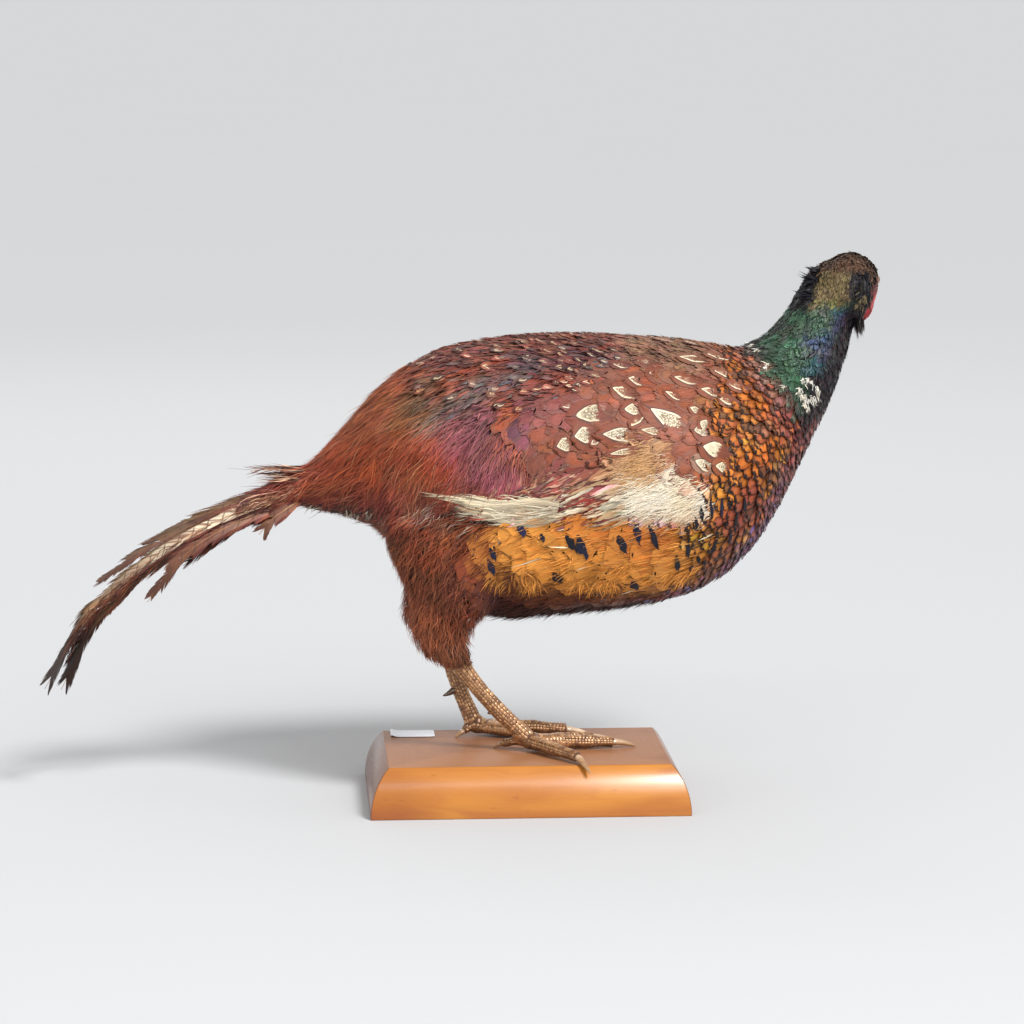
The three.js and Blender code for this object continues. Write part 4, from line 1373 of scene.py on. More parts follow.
# Black drops on the flank: middle, height and width.
TIPS = [(-5.8, 183, 10, 7), (7.4, 177.6, 5, 4), (24, 175, 12, 6), (32, 172, 14, 7.5), (-23.7, 166, 8, 6),
        (-24.8, 158, 10, 5), (56.6, 174, 13, 6.5), (67.8, 180, 13.5, 6), (77.4, 178.5, 14, 5.6),
        (100.4, 169.5, 15, 4), (105, 186, 11, 4), (108.7, 192, 15, 3.6), (115, 196, 15, 3.2),
        (122, 196.5, 15, 3), (94.5, 158, 13, 5), (108.4, 160.3, 9, 3.6), (113, 158, 8, 3.6),
        (118, 168, 15, 4.6), (129, 176, 12, 4), (16.6, 149.5, 8, 9), (46.3, 138, 7, 10), (67, 142.5, 9, 8),
        (93.5, 141, 5, 7), (132, 188, 12, 3), (137, 197, 12, 3)]


def headed(angles, count):
    """Directions in the side view from angles in degrees, once for each flank."""
    angles = np.radians(np.tile(angles, count))
    return np.stack([np.cos(angles), np.zeros(len(angles)), np.sin(angles)], 1)


# Fans of loose golden barbs: place, way they hang, how many.
FANS = [(-6, 152, -70, 9), (4, 150, -95, 8), (-16, 150, -120, 6), (44, 148, -92, 10), (50, 146, -80, 6),
        (36, 150, -110, 5), (84, 150, -140, 8), (96, 148, -100, 8), (104, 150, -125, 6), (66, 158, -150, 5),
        (28, 160, -150, 4)]


# Pale shafts that show along the flank: the two ends.
SHAFTS = [((-14, 156), (7, 163)), ((11, 172), (28, 170)), ((54, 172), (70, 177)), ((54, 135), (68, 139)),
          ((104, 174), (116, 178)), ((22, 150), (37, 158))]


def breast_coat(dice, size):
    """Scalloped feathers of the sides and front of the breast."""
    look, cloud, label = MADE["materials"], MADE["cloud"], MADE["label"]
    scallops = Coat("breast_scallops", "plumage", look["scallop"])
    p = cloud[label == "scallop"]
    p = apart(p, 3.4 + 0.7 * ease(290, 190, p[:, 2] / MM), dice)
    x, z = side_view(p)
    grown = 1 + 0.22 * ease(280, 200, z)
    ground = np.minimum(coloured(p, dice, 0.16, 0.06), [0.42, 0.2, 0.08])
    odd = dice.random(len(p))
    ground = blend_of(ground, DYE["umber"], (odd < 0.1 + 0.12 * ease(240, 262, z)) * 0.8)
    ground = blend_of(ground, DYE["rust"] * 0.8, ((odd > 0.3) & (odd < 0.45)) * 0.7)
    dark = ease(0.3, 0.8, dice.random(len(p)) + ease(262, 236, z) * 0.6)[:, None]
    vanes(scallops, p, dice, 11 * grown * size, 3.7 * grown * size, ground,
          ground * 0.5 * (1 - dark) + tones(p, dice, "soot", "umber") * dark, depth=2.8, lift=0.25,
          camber=0.4, spread=0.2)
    scallops.finish()

    breast = Coat("breast_front", "plumage", look["scallop"])
    p = keep("breast", 3.8, dice)
    x, z = side_view(p)
    ground = np.minimum(coloured(p, dice, 0.18, 0.08), [0.42, 0.2, 0.2])
    odd = dice.random(len(p))
    # lilac and violet on a few feathers low on the breast: painted glints of its sheen
    ground = blend_of(ground, DYE["lilac"], (odd < 0.12) * ease(230, 190, z) * 0.7)
    ground = blend_of(ground, DYE["violet"], (odd > 0.9) * ease(215, 180, z) * 0.7)
    ground = blend_of(ground, DYE["sienna"], ((odd > 0.3) & (odd < 0.45)) * 0.5)
    vanes(breast, p, dice, 12 * size, 4.2 * size, ground, ground * 0.3, depth=2.8, lift=0.25,
          camber=0.4, spread=0.2)
    breast.finish()


def shoulder_coat(dice, size):
    """Feathers of the mantle and shoulders, with the marked ones set one by one."""
    look = MADE["materials"]
    mantle = Coat("mantle_feathers", "plumage", look["plain"])
    p = keep("mantle", 3.8, dice)
    ground = coloured(p, dice, 0.16)
    vanes(mantle, p, dice, 15 * size, 3.6 * size, ground, ground * 0.55, shape="lance", depth=2.6,
          lift=0.2, ragged=0.12)
    mantle.finish()

    shoulder = Coat("shoulder_feathers", "plumage", look["bordered"])
    p = keep("scapular", 6.2, dice)
    ground = coloured(p, dice, 0.14, 0.05)
    vanes(shoulder, p, dice, 24 * size, 6.6 * size, ground, blend_of(ground * 0.9, DYE["dusk"], 0.6),
          rows=12, cols=9, depth=1.4, lift=0.05, camber=0.2, curl=0.04, ragged=0.04, spread=0.2)
    shoulder.finish()

    for name, kind, spots, share, tip in (("shoulder_ovals", "oval", OVALS, 0.54, 0.86),
                                          ("shoulder_vees", "vee", VEES, 0.5, 0.88)):
        marked = Coat(name, "plumage", look[kind])
        spots = np.array(spots, float)
        long, half = spots[:, 3] / share, spots[:, 4] / 0.56
        way = headed(spots[:, 2], 1)[:, [0, 2]]
        root = spots[:, :2] - way * (tip * long)[:, None]
        p = on_both(root[:, 0], root[:, 1])
        shown = on_both(spots[:, 0], spots[:, 1])
        ground = blend_of(coloured(shown, dice, 0.05, 0.02), DYE["chestnut"] * 0.6, 0.5)
        vanes(marked, p, dice, np.tile(long, 2), np.tile(half, 2), ground,
              tones(p, dice, "cream", "bone", None, 0, 0.05), shape="oval", rows=12, cols=9, depth=1.5,
              lift=0.1, camber=0.3, raised=0.75, spread=0.03, ragged=0.03, vary=0.02, follow=0,
              way=headed(spots[:, 2], 2), curl=0.06)
        marked.finish()


def back_coat(dice, size):
    """Small ticked feathers of the back, and the loose hair over the upper side."""
    look, cloud, label = MADE["materials"], MADE["cloud"], MADE["label"]
    back = Coat("back_feathers", "plumage", look["plain"])
    ticks = Coat("back_ticks", "plumage", look["vee"])
    p = keep("back", 3.2, dice)
    x, z = side_view(p)
    ground = coloured(p, dice, 0.2, 0.05)
    odd = dice.random(len(p))
    for low, high, name, share in ((0, 0.07, "slate", 0.45), (0.1, 0.16, "bark", 0.5),
                                   (0.16, 0.32, "soot", 0.6), (0.32, 0.36, "teal", 0.35),
                                   (0.36, 0.42, "lilac", 0.4), (0.42, 0.5, "rust", 0.3)):
        ground = blend_of(ground, DYE[name], ((odd > low) & (odd < high)) * share)
    ticked = dice.random(len(p)) < 0.07 + 0.2 * ease(-10, 20, x) * ease(262, 274, z)
    for coat, here in ((back, ~ticked), (ticks, ticked)):
        wide = 1.9 if coat is back else 3.0
        mark = ground[here] * 0.5 if coat is back else tones(p[here], dice, "cream", "tan")
        vanes(coat, p[here], dice, (15 if coat is back else 10) * size, wide * size, ground[here], mark,
              shape="lance" if coat is back else "oval", depth=2.4, lift=0.2, camber=0.3, ragged=0.14,
              raised=0.0 if coat is back else 0.7, spread=0.28)
    back.finish()
    ticks.finish()

    loose = Coat("back_hair", "plumage", look["strand"])
    for names, gap, how in ((("back", "mantle"), 4.2, dict(length=14, count=4, spread=0.5, width=0.7)),
                            (("scapular",), 3.6, dict(length=13, count=4, spread=0.4, width=0.4)),
                            (("scallop", "breast"), 4.6, dict(length=9, count=4, spread=0.5, width=0.45))):
        p = cloud[np.isin(label, names)]
        p = apart(p, gap, dice)
        ground = coloured(p, dice, 0.24, 0.1)
        strands(loose, p, dice, how.pop("length"), ground * 0.85, ground * 1.25, depth=2.0, rise=0.4,
                steps=5, turn=0.25, **how)
    loose.finish()


def flank_coat(dice, size):
    """Broad golden feathers of the flank, their black drops and their loose barbs."""
    look, cloud, label = MADE["materials"], MADE["cloud"], MADE["label"]
    flank = Coat("flank_feathers", "plumage", look["silky"])
    p = keep("flank", 9.0, dice)
    p = p[p[:, 0] > dice.normal(-26, 9, len(p)) * MM]
    ground = flank_colours(p - np.array([17, 0, 3]) * MM) * np.exp(dice.normal(0, 0.07, (len(p), 1)))
    vanes(flank, p, dice, 34 * size, 11 * size, ground, ground * 0.9, shape="broad", rows=12, cols=9,
          depth=2.6, lift=0.1, camber=0.3, ragged=0.05, spread=0.2, curl=0.06)
    flank.finish()
    tips = Coat("flank_tips", "plumage", look["plain"])
    spots = np.array(TIPS, float)
    fore = spots[:, 0] > 99
    lean = np.radians(-74 - 8 * fore + dice.normal(0, 7, len(spots)))
    spots[:, 2:] *= np.where(fore, [[0.62], [0.85]], [[0.95], [0.9]]).T
    way = np.stack([np.cos(lean), np.sin(lean)], 1)
    start = spots[:, :2] - way * spots[:, 2:3] * 0.55
    p = on_both(start[:, 0], start[:, 1])
    black = tones(p, dice, "ink", "blueblack", None, 0, 0.2)
    vanes(tips, p, dice, np.tile(spots[:, 2], 2) * 1.15, np.tile(spots[:, 3], 2) * 0.42, black, black,
          rows=9, cols=5, depth=0.7, lift=0.1, camber=0.1, raised=0.75, ragged=0.16, spread=0.05, vary=0.1,
          way=headed(np.degrees(lean), 2), follow=0, curl=0.05)
    tips.finish()

    fans = Coat("flank_barbs", "plumage", look["strand"])
    for x, z, angle, number in FANS:
        way = np.array([math.cos(math.radians(angle)), 0, math.sin(math.radians(angle))])
        xs, zs = x + dice.normal(0, 3.4, number), z + dice.normal(0, 2.2, number)
        p = on_both(xs, zs)
        ground = blend_of(coloured(p, dice, 0.1), DYE["gold"] * 1.15, 0.6)
        strands(fans, p, dice, 15, ground * 0.75, ground * 1.15, count=8, spread=0.75, width=0.7, depth=0.8,
                rise=1.3, turn=0.2, way=np.broadcast_to(way, p.shape), follow=0.0, jitter=0.22, cling=0.9)
    x, z = side_view(cloud)
    p = cloud[(label == "flank") | ((label == "thigh") & (x > -52) & (z > 140))]
    p = apart(p, 4.2, dice)
    ground = flank_colours(p - np.array([8, 0, 2]) * MM) * np.exp(dice.normal(0, 0.16, (len(p), 1)))
    strands(fans, p, dice, 20, ground * 0.85, ground * 1.15, count=5, spread=0.26, width=0.5, depth=0.8,
            rise=0.3, turn=0.2, wave=0.04)
    for (x0, z0), (x1, z1) in SHAFTS:
        for side in SIDES:
            p = laid([x1], [z1], side)
            way = unit(np.array([[x0 - x1, 0, z0 - z1]], float))
            pale = np.array([DYE["cream"]])
            strands(fans, p, dice, math.hypot(x0 - x1, z0 - z1) * 1.1, pale * 0.9, pale, count=1, spread=0,
                    width=1.1, depth=0.0, rise=1.1, way=way, turn=0, wave=0.02, follow=0.0)
    fans.finish()


def trunk_coat(size):
    """Contour feathers of the whole trunk."""
    dice = np.random.default_rng(21)
    for part in (breast_coat, shoulder_coat, back_coat, flank_coat):
        part(dice, size)


# The folded quills: lower and upper edge in the side view, from the front of the wing to its point.
WING_LOW = [(16, 190), (5, 188), (-6, 184), (-20, 186.5), (-36, 192), (-49, 198.5), (-69, 202)]


WING_TOP = [(18, 200), (5, 201.5), (-7, 202), (-20, 201), (-36, 203), (-50, 203.5), (-70, 202.6)]


def wing_coat(size):
    """Streaked coverts, down and the folded primaries on both sides."""
    dice = np.random.default_rng(22)
    look = MADE["materials"]
    coverts = Coat("wing_coverts", "wing_feathers", look["streak"], "wing_left", "wing_right")
    p = keep("coverts", 4.1, dice)
    x, z = side_view(p)
    ground = coloured(p, dice, 0.26, 0.16)
    vanes(coverts, p, dice, 28 * size, 3.6 * size, ground, blend_of(tones(p, dice, "cream", "tan"),
                                                                    ground * 1.2, 0.6 * ease(202, 214, z)
                                                                    * ease(76, 58, x)), shape="lance",
          rows=9, cols=7, depth=2.8, lift=0.3, camber=0.4, ragged=0.1, spread=0.16)
    coverts.finish()

    quills = Coat("wing_primaries", "wing_feathers", look["quill"])
    parted = Coat("wing_barbs", "wing_feathers", look["strand"])
    t = np.array(ROWS[12])
    for side in SIDES:
        for f, reach_out in ((0.1, 0.62), (0.28, 0.72), (0.46, 0.84), (0.64, 0.98), (0.8, 0.86),
                             (0.92, 0.66)):
            line = spline(WING_LOW, t * reach_out) * (1 - f) + spline(WING_TOP, t * reach_out) * f
            wave = dice.normal(0, 1.2) * np.sin(t * 5 + dice.random() * 6)
            spine = laid(line[:, 0], line[:, 1] + wave, side)[None]
            root = spine[:, 0]
            pale = tones(root, dice, "bone", "cream", None, 0, 0.05) * 0.92
            grey = tones(root, dice, "bark", "grey", None, 0, 0.1)
            vanes(quills, root, dice, 86 * reach_out, 3.0, pale, grey, shape="lance", rows=12, cols=9,
                  depth=0.3, lift=0.2, camber=0.7, raised=0.35 + 0.5 * f, ragged=0.09, spine=spine)
        number = 70
        f, share = dice.random(number), dice.uniform(0, 0.62, number)
        low, top = spline(WING_LOW, share), spline(WING_TOP, share)
        at = low * (1 - f[:, None]) + top * f[:, None]
        after = spline(WING_LOW,
                       share + 0.1) * (1 - f[:, None]) + spline(WING_TOP, share + 0.1) * f[:, None]
        way = np.stack([after[:, 0] - at[:, 0], 0 * f, after[:, 1] - at[:, 1]], 1)
        p = laid(at[:, 0], at[:, 1], side)
        ground = tones(p, dice, "cream", "bone", "tan", 0.15, 0.08)
        strands(parted, p, dice, 26 - 10 * share, ground * 0.85, ground, count=6, spread=0.13, width=0.9,
                depth=0.2, rise=0.5, turn=0.1, wave=0.04, way=unit(way), follow=0.2, jitter=0.1)
    quills.finish()
    parted.finish()

    down = Coat("wing_down", "wing_feathers", look["strand"])
    for name, first, second in (("white_down", "down", "white"), ("tan_down", "tan", "buff")):
        p = keep(name, 2.5, dice)
        ground = tones(p, dice, first, second, None, 0, 0.05)
        ground = blend_of(ground, DYE["gold"],
                          ease(197, 188, p[:, 2] / MM + dice.normal(0, 2, len(p))) * 0.45)
        strands(down, p, dice, 20, ground * [0.88, 0.82, 0.74], ground * [1.12, 1.06, 0.96], count=9,
                spread=0.5, width=0.5, depth=2.0, rise=0.2, turn=0.25, wave=0.05, steps=6, jitter=0.06)
    p = keep("coverts", 7.4, dice)
    x, z = side_view(p)
    p = p[z < 209 + 0.12 * (x + 10) + dice.normal(0, 3, len(p))]
    x, z = side_view(p)
    slope = np.degrees(np.arctan2(-0.36 - 0.3 * ease(206, 226, z) * ease(40, 10, x), -0.92))
    way = np.stack([np.cos(np.radians(slope)), 0 * x, np.sin(np.radians(slope))], 1)
    ground = tones(p, dice, "down", "cream", "tan", 0.3, 0.1) * 0.95
    streaks = Coat("covert_streaks", "wing_feathers", look["quill"])
    vanes(streaks, p, dice, 20 * size, 1.5 * size, ground, ground * [0.5, 0.4, 0.36], shape="lance", rows=9,
          cols=5, depth=0.9, lift=0.1, camber=0.2, raised=0.25, ragged=0.2, spread=0.12, way=way,
          follow=0.2, vary=0.35)
    streaks.finish()
    p = p[(z < 197) & (x < 40) & (dice.random(len(p)) < 0.4)]
    ground = tones(p, dice, "down", "cream", "tan", 0.2, 0.08)
    strands(down, p, dice, 20, ground * 0.85, ground, count=6, spread=0.18, width=0.7, depth=0.4, rise=0.3,
            turn=0.12, jitter=0.1)
    down.finish()


def loose_coat():
    """Hair-like plumes of the rump, vent, thighs and belly."""
    dice = np.random.default_rng(23)
    look = MADE["materials"]
    rump = Coat("rump_plumes", "plumage", look["strand"])
    p = keep("rump", 2.9, dice)
    x, z = side_view(p)
    clump = np.exp((mottle(p, 9 * MM, 41) - 0.6) * 0.9)[:, None]
    ground = coloured(p, dice, 0.16, 0.07) * clump
    # paler tips, most of all high on the rear of the rump: painted highlight on the plumes
    tip = ground * (1.2 + 0.35 * ease(215, 235, z) * ease(-75, -40, x))[:, None]
    tip = blend_of(tip, ground * 0.5, ease(214, 204, z) * ease(-60, -40, x))
    strands(rump, p, dice, 30 - 8 * ease(-60, -20, x) * ease(230, 210, z), ground * 0.75, tip, count=6,
            spread=0.34, width=0.8, depth=4.0, rise=0.5, turn=0.14, steps=8, jitter=0.2)
    p = p[(dice.random(len(p)) < 0.12)]
    ground = coloured(p, dice, 0.2, 0.08)
    pale = blend_of(ground * 1.3, DYE["tan"], (dice.random(len(p)) < 0.4) * 0.5)
    strands(rump, p, dice, 34, ground, pale, count=5, spread=0.5, width=0.55, depth=1.0, rise=1.4,
            turn=0.3, steps=8, jitter=0.3, sag=0.1, follow=0.5)
    rump.finish()

    thigh = Coat("thigh_plumes", "thigh_plumage", look["strand"], "thigh_left", "thigh_right")
    p = keep("thigh", 3.1, dice)
    x, z = side_view(p)
    edge = ease(-62, -84, x + (z - 150) * 0.3) * ease(188, 176,
                                                      z) + ease(-44, -56, x) * ease(122, 112, z) * 0.7
    ground = coloured(p, dice, 0.16, 0.06) * np.exp((mottle(p, 8 * MM, 42) - 0.55) * 1.2)[:, None]
    ground = blend_of(ground, DYE["clay"] * 0.95, np.clip(edge, 0, 1) * 0.6)
    strands(thigh, p, dice, 18 - 6 * ease(130, 100, z), ground * 0.75, ground * 1.25, count=6, spread=0.6,
            width=0.6, depth=4.0, rise=1.1, turn=0.36, wave=0.1, cling=np.where(z < 112, 0.75, 1.0),
            sag=0.1, jitter=0.25)
    thigh.finish()

    belly = Coat("belly_down", "plumage", look["strand"])
    p = keep("belly", 3.2, dice)
    x, z = side_view(p)
    ground = coloured(p, dice, 0.2) * (1 - 0.35 * ease(-30, 0, x))[:, None]
    hang = ease(-40, -20, x) * ease(40, 10, x)
    strands(belly, p, dice, 18 + 4 * hang, ground * 0.8, ground * 1.15, count=5, spread=0.6, width=0.8,
            depth=4.0, rise=1.2, turn=0.3, cling=0.97 - 0.3 * hang, sag=0.1)
    belly.finish()


# Worn white of the neck ring, and loose white flecks above it.
RING = [(176, 268.2), (177.5, 271.4), (180.6, 273), (184.3, 271), (187.4, 268), (188.8, 264.4),
        (174.6, 264.6), (177.5, 262.4), (180.2, 261.6), (182, 259.4), (184.6, 261), (187, 260.2),
        (189.4, 261.6), (177.8, 257.6), (180.6, 255.6), (148.3, 292.1), (151, 290.5), (156.7, 281.5),
        (165.4, 269.4)]


def neck_coat():
    """Glossy neck feathers, the worn white ring, and the small feathers of the head."""
    dice = np.random.default_rng(24)
    look, cloud, label = MADE["materials"], MADE["cloud"], MADE["label"]
    neck = Coat("neck_feathers", "neck_plumage", look["gloss"])
    p = keep("neck", 2.6, dice)
    ground = coloured(p, dice, 0.16, 0.06)
    vanes(neck, p, dice, 9.5, 2.8, ground, ground * 0.8, depth=1.7, lift=0.16, camber=0.25,
          ragged=0.16, spread=0.35)
    neck.finish()
    ring = Coat("neck_ring", "neck_plumage", look["strand"])
    spots = np.array(RING)
    p = on_both(spots[:, 0], spots[:, 1])
    p = np.repeat(p, 3, 0) + dice.normal(0, 1.1, (len(p) * 3, 3)) * MM
    white = tones(p, dice, "white", "bone", None, 0, 0.06)
    strands(ring, p, dice, 4.6, white * 0.8, white, count=5, spread=0.8, width=0.75, depth=0.3, rise=0.8,
            turn=0.5, wave=0.12, steps=5, jitter=0.1)
    ring.finish()
    soft = Coat("nape_hair", "neck_plumage", look["strand"], "head")
    p = cloud[(label == "neck") | (label == "head")]
    p = p[(wattle_share(p) < 0.3) & (on_head(p)[:, 0] < 0)]
    p = apart(p, 2.4, dice)
    ground = coloured(p, dice, 0.26, 0.08)
    strands(soft, p, dice, 7.5, ground * 0.8, ground * 1.35, count=4, spread=0.6, width=0.5, depth=1.0,
            rise=0.4, steps=5, turn=0.4, wave=0.1, jitter=0.25)
    soft.finish()
    head = Coat("head_feathers", "neck_plumage", look["soft"], "head")
    fine = MADE["head_cloud"]
    local = on_head(fine) / MM
    eye = np.hypot(local[:, 0] - 9, local[:, 2] - 4) < 5.6
    bare = (wattle_share(fine) > 0.35) | (eye & (np.abs(local[:, 1]) > 8)) | (local[:, 0] > 19.5)
    p = fine[~bare]
    p = apart(p, 1.45 + 0.4 * ease(4, -18, on_head(p)[:, 0] / MM), dice)
    ground = neck_colours(p) * np.exp(dice.normal(0, 0.12, (len(p), 1)))
    vanes(head, p, dice, 5.0, 1.3, ground, ground * 0.65, shape="lance", rows=5, cols=3, depth=1.1,
          lift=0.12, camber=0.1, ragged=0.1, spread=0.25, close=False)
    head.finish()


# ---- tail ----
def tail_frame(f, number=240):
    """The shaft of a tail feather, with its length so far, its way, its side and its face."""
    line = spline([(TAIL_FRONT, *f["root"]), f["mid"], f["late"], f["tip"]], np.linspace(0, 1, number)) * MM
    way = unit(np.gradient(line, axis=0))
    roll = math.radians(f["roll"])
    side = flat_on(np.broadcast_to([0, math.cos(roll), math.sin(roll)], line.shape), way)
    far = lengths(line)
    return line, far, way, side, np.cross(way, side)


def worn_feathers(dice):
    """Tail feathers: a shaft, and barbs that hold together in lobes and fray along both its sides."""
    coat = Coat("tail_feathers", "tail_feathers", MADE["materials"]["tail"], "tail")
    shafts = []
    grid = np.stack(np.meshgrid([0.05, 0.95], np.linspace(0, 1, 6)), -1)
    for number, f in enumerate(TAIL):
        line, far, way, side, face = tail_frame(f)
        total = far[-1]
        long_one = number < 2
        loose = number == 9
        for hand in SIDES:
            a = np.arange(0.015 * total, total - (9 if long_one else 5) * MM, 0.95 * MM)
            share = a / total
            spot = np.stack([a, a * 0 + number, a * 0 + hand], 1)
            clump = mottle(spot, (15 if hand > 0 else 22) * MM, number)
            lobe = np.round(clump * 5) / 5 * 0.6 + clump * 0.4
            wide = f["half"] * MM * np.minimum(1, 0.55 + share * 2.2)
            if long_one:
                wide = wide * (1 + 0.35 * ease(0.7, 0.82, share) - 0.5 * np.maximum(0, (share - 0.9) / 0.1))
            else:
                wide = wide * (1 - 0.7 * np.maximum(0, (share - 0.72) / 0.28) ** 1.6)
            worn = ease(0.5, 0.72, mottle(spot, 8 * MM, number + 20))
            lobed = hand > 0 and not long_one
            wide = wide * (1 - (0.66 if lobed else 0.35) * worn) * dice.uniform(0.94, 1.05, len(a))
            kept = dice.random(len(a)) > (0.5 if loose else 0.02 + (0.35 if lobed else 0.1) * worn)
            a, share, lobe, wide = a[kept], share[kept], lobe[kept], wide[kept]
            n = len(a)
            x = np.linspace(0, 1, 6)[None] * wide[:, None]
            lean = np.radians(25 + (lobe - 0.5) * (36 if lobed else 18)
                              + dice.normal(0, 7 if loose else 1.6, n))[:, None]
            run = a[:, None] + x / np.tan(lean) * (0.7 + 0.3 * x / wide[:, None])
            out_far = x / wide[:, None]
            loft = (lobe[:, None] - 0.5) * 3.4 * MM * out_far**1.6 - 0.4 * MM * out_far
            loft = loft + dice.normal(0, 0.1, (n, 1)) * MM * out_far
            breadth = 2.3 * MM * np.array([0.9, 1.0, 1.0, 0.95, 0.75, 0.2]) * (0.6 if loose else 1)
            out = []
            for edge in (-1, 1):
                b = run + edge * breadth[None] * 0.6
                at = at_length(b, far, line)
                at = at + way[-1] * np.maximum(b - total, 0)[..., None] * 0.5
                s = at_length(b, far, side)
                o = at_length(b, far, face)
                out.append(at + s * (hand * x)[..., None] + o * loft[..., None])
            points = np.stack(out, 2)
            u = np.broadcast_to((0.5 + 0.5 * hand * x / (f["half"] * MM))[..., None], points.shape[:3])
            v = np.stack([run - breadth * 0.6, run + breadth * 0.6], -1) / (200 * MM)
            vane = np.stack([np.clip(u, 0, 1), v], -1)
            rim = np.broadcast_to((1 - share)[:, None, None], points.shape[:3])
            roots = at_length(a, far, line)
            olive = tones(roots, dice, "sepia", "olive", "bark", 0.25, 0.1)
            warm = tones(roots, dice, "wine", "mauve", "rufous", 0.35, 0.16)
            upper = hand > 0 and number in (0, 2, 3, 4, 5)
            body = blend_of(warm, olive, ease(0.1, 0.4, share) * 0.85 if upper
                            else ease(0.45, 0.9, share) * 0.5)
            if long_one:
                body = blend_of(body, DYE["umber"] * 0.8, ease(0.62, 0.8, share) * 0.9)
            body = body * (1.1 - (0.35 if upper else 0.6) * ease(0.1, 0.42, share))[:, None]
            pale = blend_of(tones(roots, dice, "buff", "bone", "dusk", 0.25, 0.08),
                            tones(roots, dice, "tan", "bark"),
                            ease(0.3, 0.7, share) * 0.8) * (1.1 - 0.35 * ease(0.2, 0.6, share))[:, None]
            shown = (1, 0.2, 0.12, 0.12, 0.12, 0.12, 0.2, 0.2, 0.2, 0.2)[number] * ease(0.84, 0.7, share)
            pale = blend_of(body * 1.25, pale, shown)
            flat = np.stack([np.full(n, (number * 30 + hand * 6) * MM), a], 1)
            coat.add(points, body, pale, vane, rim, np.full(n, number / 10 + 0.03 * hand), flat,
                     np.broadcast_to(grid, (n, 6, 2, 2)))
        pick = np.linspace(0, len(line) - 1, 40).astype(int)
        taper = np.linspace(1, 0.25, 40) * 0.8 * MM
        shafts.append(put("shaft", *tube(line[pick] + face[pick] * 0.3 * MM, taper, taper * 0.7, side[0],
                                         8)))
    coat.finish()
    shaft = joined(*shafts)
    bpy.ops.object.shade_smooth()
    r = Recipe("tail_shaft", Roughness=0.4, Specular_IOR_Level=0.4)
    grain = r.noise(r.scaled(r.places(), (60, 900, 900)), 1.0, 2.0)
    quill = r.finish(r.mix(grain, tuple(DYE["tan"]), tuple(DYE["rufous"] * 0.6)))
    finished(shaft, "tail_shafts", quill, "tail_feathers", "tail")


def tail_fringe(dice):
    """Hair-like fringes and coverts over the root of the tail, and barbs let go along it."""
    fringe = Coat("tail_coverts", "tail_feathers", MADE["materials"]["strand"], "tail")
    cloud, label = MADE["cloud"], MADE["label"]
    p = cloud[(label == "rump") & (cloud[:, 0] < -112 * MM)]
    p = apart(p, 3.4, dice)
    ground = coloured(p, dice, 0.2, 0.08)
    long = 15 + 15 * ease(-122, -110, p[:, 0] / MM)
    strands(fringe, p, dice, long, ground * 0.7, ground * 1.25, count=6, spread=0.22, width=0.9, depth=1.5,
            rise=0.5, turn=0.1, cling=0.9, sag=0.02)
    # the tuft that stands off above the tail, and fine barbs under its longest feather
    xs, zs = dice.uniform(-146, -126, 20), dice.uniform(205, 214, 20)
    p = np.stack([xs, dice.uniform(6, 20, 20), zs], 1) * MM
    ground = tones(p, dice, "rust", "umber", "buff", 0.3)
    way = np.broadcast_to(unit(np.array([-1.0, -0.05, 0.1])), p.shape)
    strands(fringe, p, dice, 32, ground * 0.6, ground * 1.2, count=6, spread=0.16, width=1.2, depth=0.0,
            rise=1.2, turn=0.08, cling=0.0, way=way, follow=0.0, away=(0, -0.3, 1))
    line, far, way, side, face = tail_frame(TAIL[0])
    pick = dice.integers(4, 190, 90)
    p = line[pick] - side[pick] * dice.uniform(1, 6, (90, 1)) * MM + face[pick] * 0.6 * MM
    ground = tones(p, dice, "maroon", "umber", "clay", 0.4, 0.25) * 0.6
    strands(fringe, p, dice, 24, ground * 0.8, ground * 1.2, count=3, spread=0.12, width=0.5, depth=0.0,
            rise=0.8, turn=0.06, cling=0.0, way=way[pick] + [0, 0, -0.08], follow=0.0, away=(0, -1, 0.1))
    # scruffy ends under the root of the tail, dark with pale points
    xs, zs = dice.uniform(-136, -98, 60), dice.uniform(186, 193, 60)
    p = on_both(xs, zs)
    ground = tones(p, dice, "soot", "umber", "bone", 0.2, 0.2)
    way = np.broadcast_to(unit(np.array([-0.55, 0, -0.85])), p.shape)
    strands(fringe, p, dice, 13, ground * 0.8, ground * 1.2, count=4, spread=0.45, width=0.9, depth=1.0,
            rise=1.4, turn=0.3, cling=0.3, way=way, follow=0.0)
    fringe.finish()


def tail_coat():
    """The whole tail."""
    dice = np.random.default_rng(25)
    worn_feathers(dice)
    tail_fringe(dice)


# ---- legs and feet ----
def leg_runs():
    """Each tarsus and toe: its line, the way its top faces, and how far out it is."""
    runs = []
    for leg in LEGS.values():
        ankle, foot = np.array(leg["ankle"], float), np.array(leg["foot"], float)
        middle = ankle * 0.5 + foot * 0.5 + [-1.5, 0, -1]
        line = spline([ankle + [-9, leg["out"] * 1.5, 20], ankle, middle, foot],
                      np.linspace(0, 1, 120)) * MM
        runs.append((0, line, (1, 0, 0.2), 5.0))
        for toe, (to, girth) in leg["toes"].items():
            start = foot + [0, 0, -1]
            arch = 1 if toe == 1 else leg["lift"] if toe == 3 else 0
            bend = start * 0.5 + np.array(to, float) * 0.5 + [0, 0, arch]
            runs.append((toe, spline([start, bend, to], np.linspace(0, 1, 80)) * MM, (0, 0, 1), girth))
    return runs


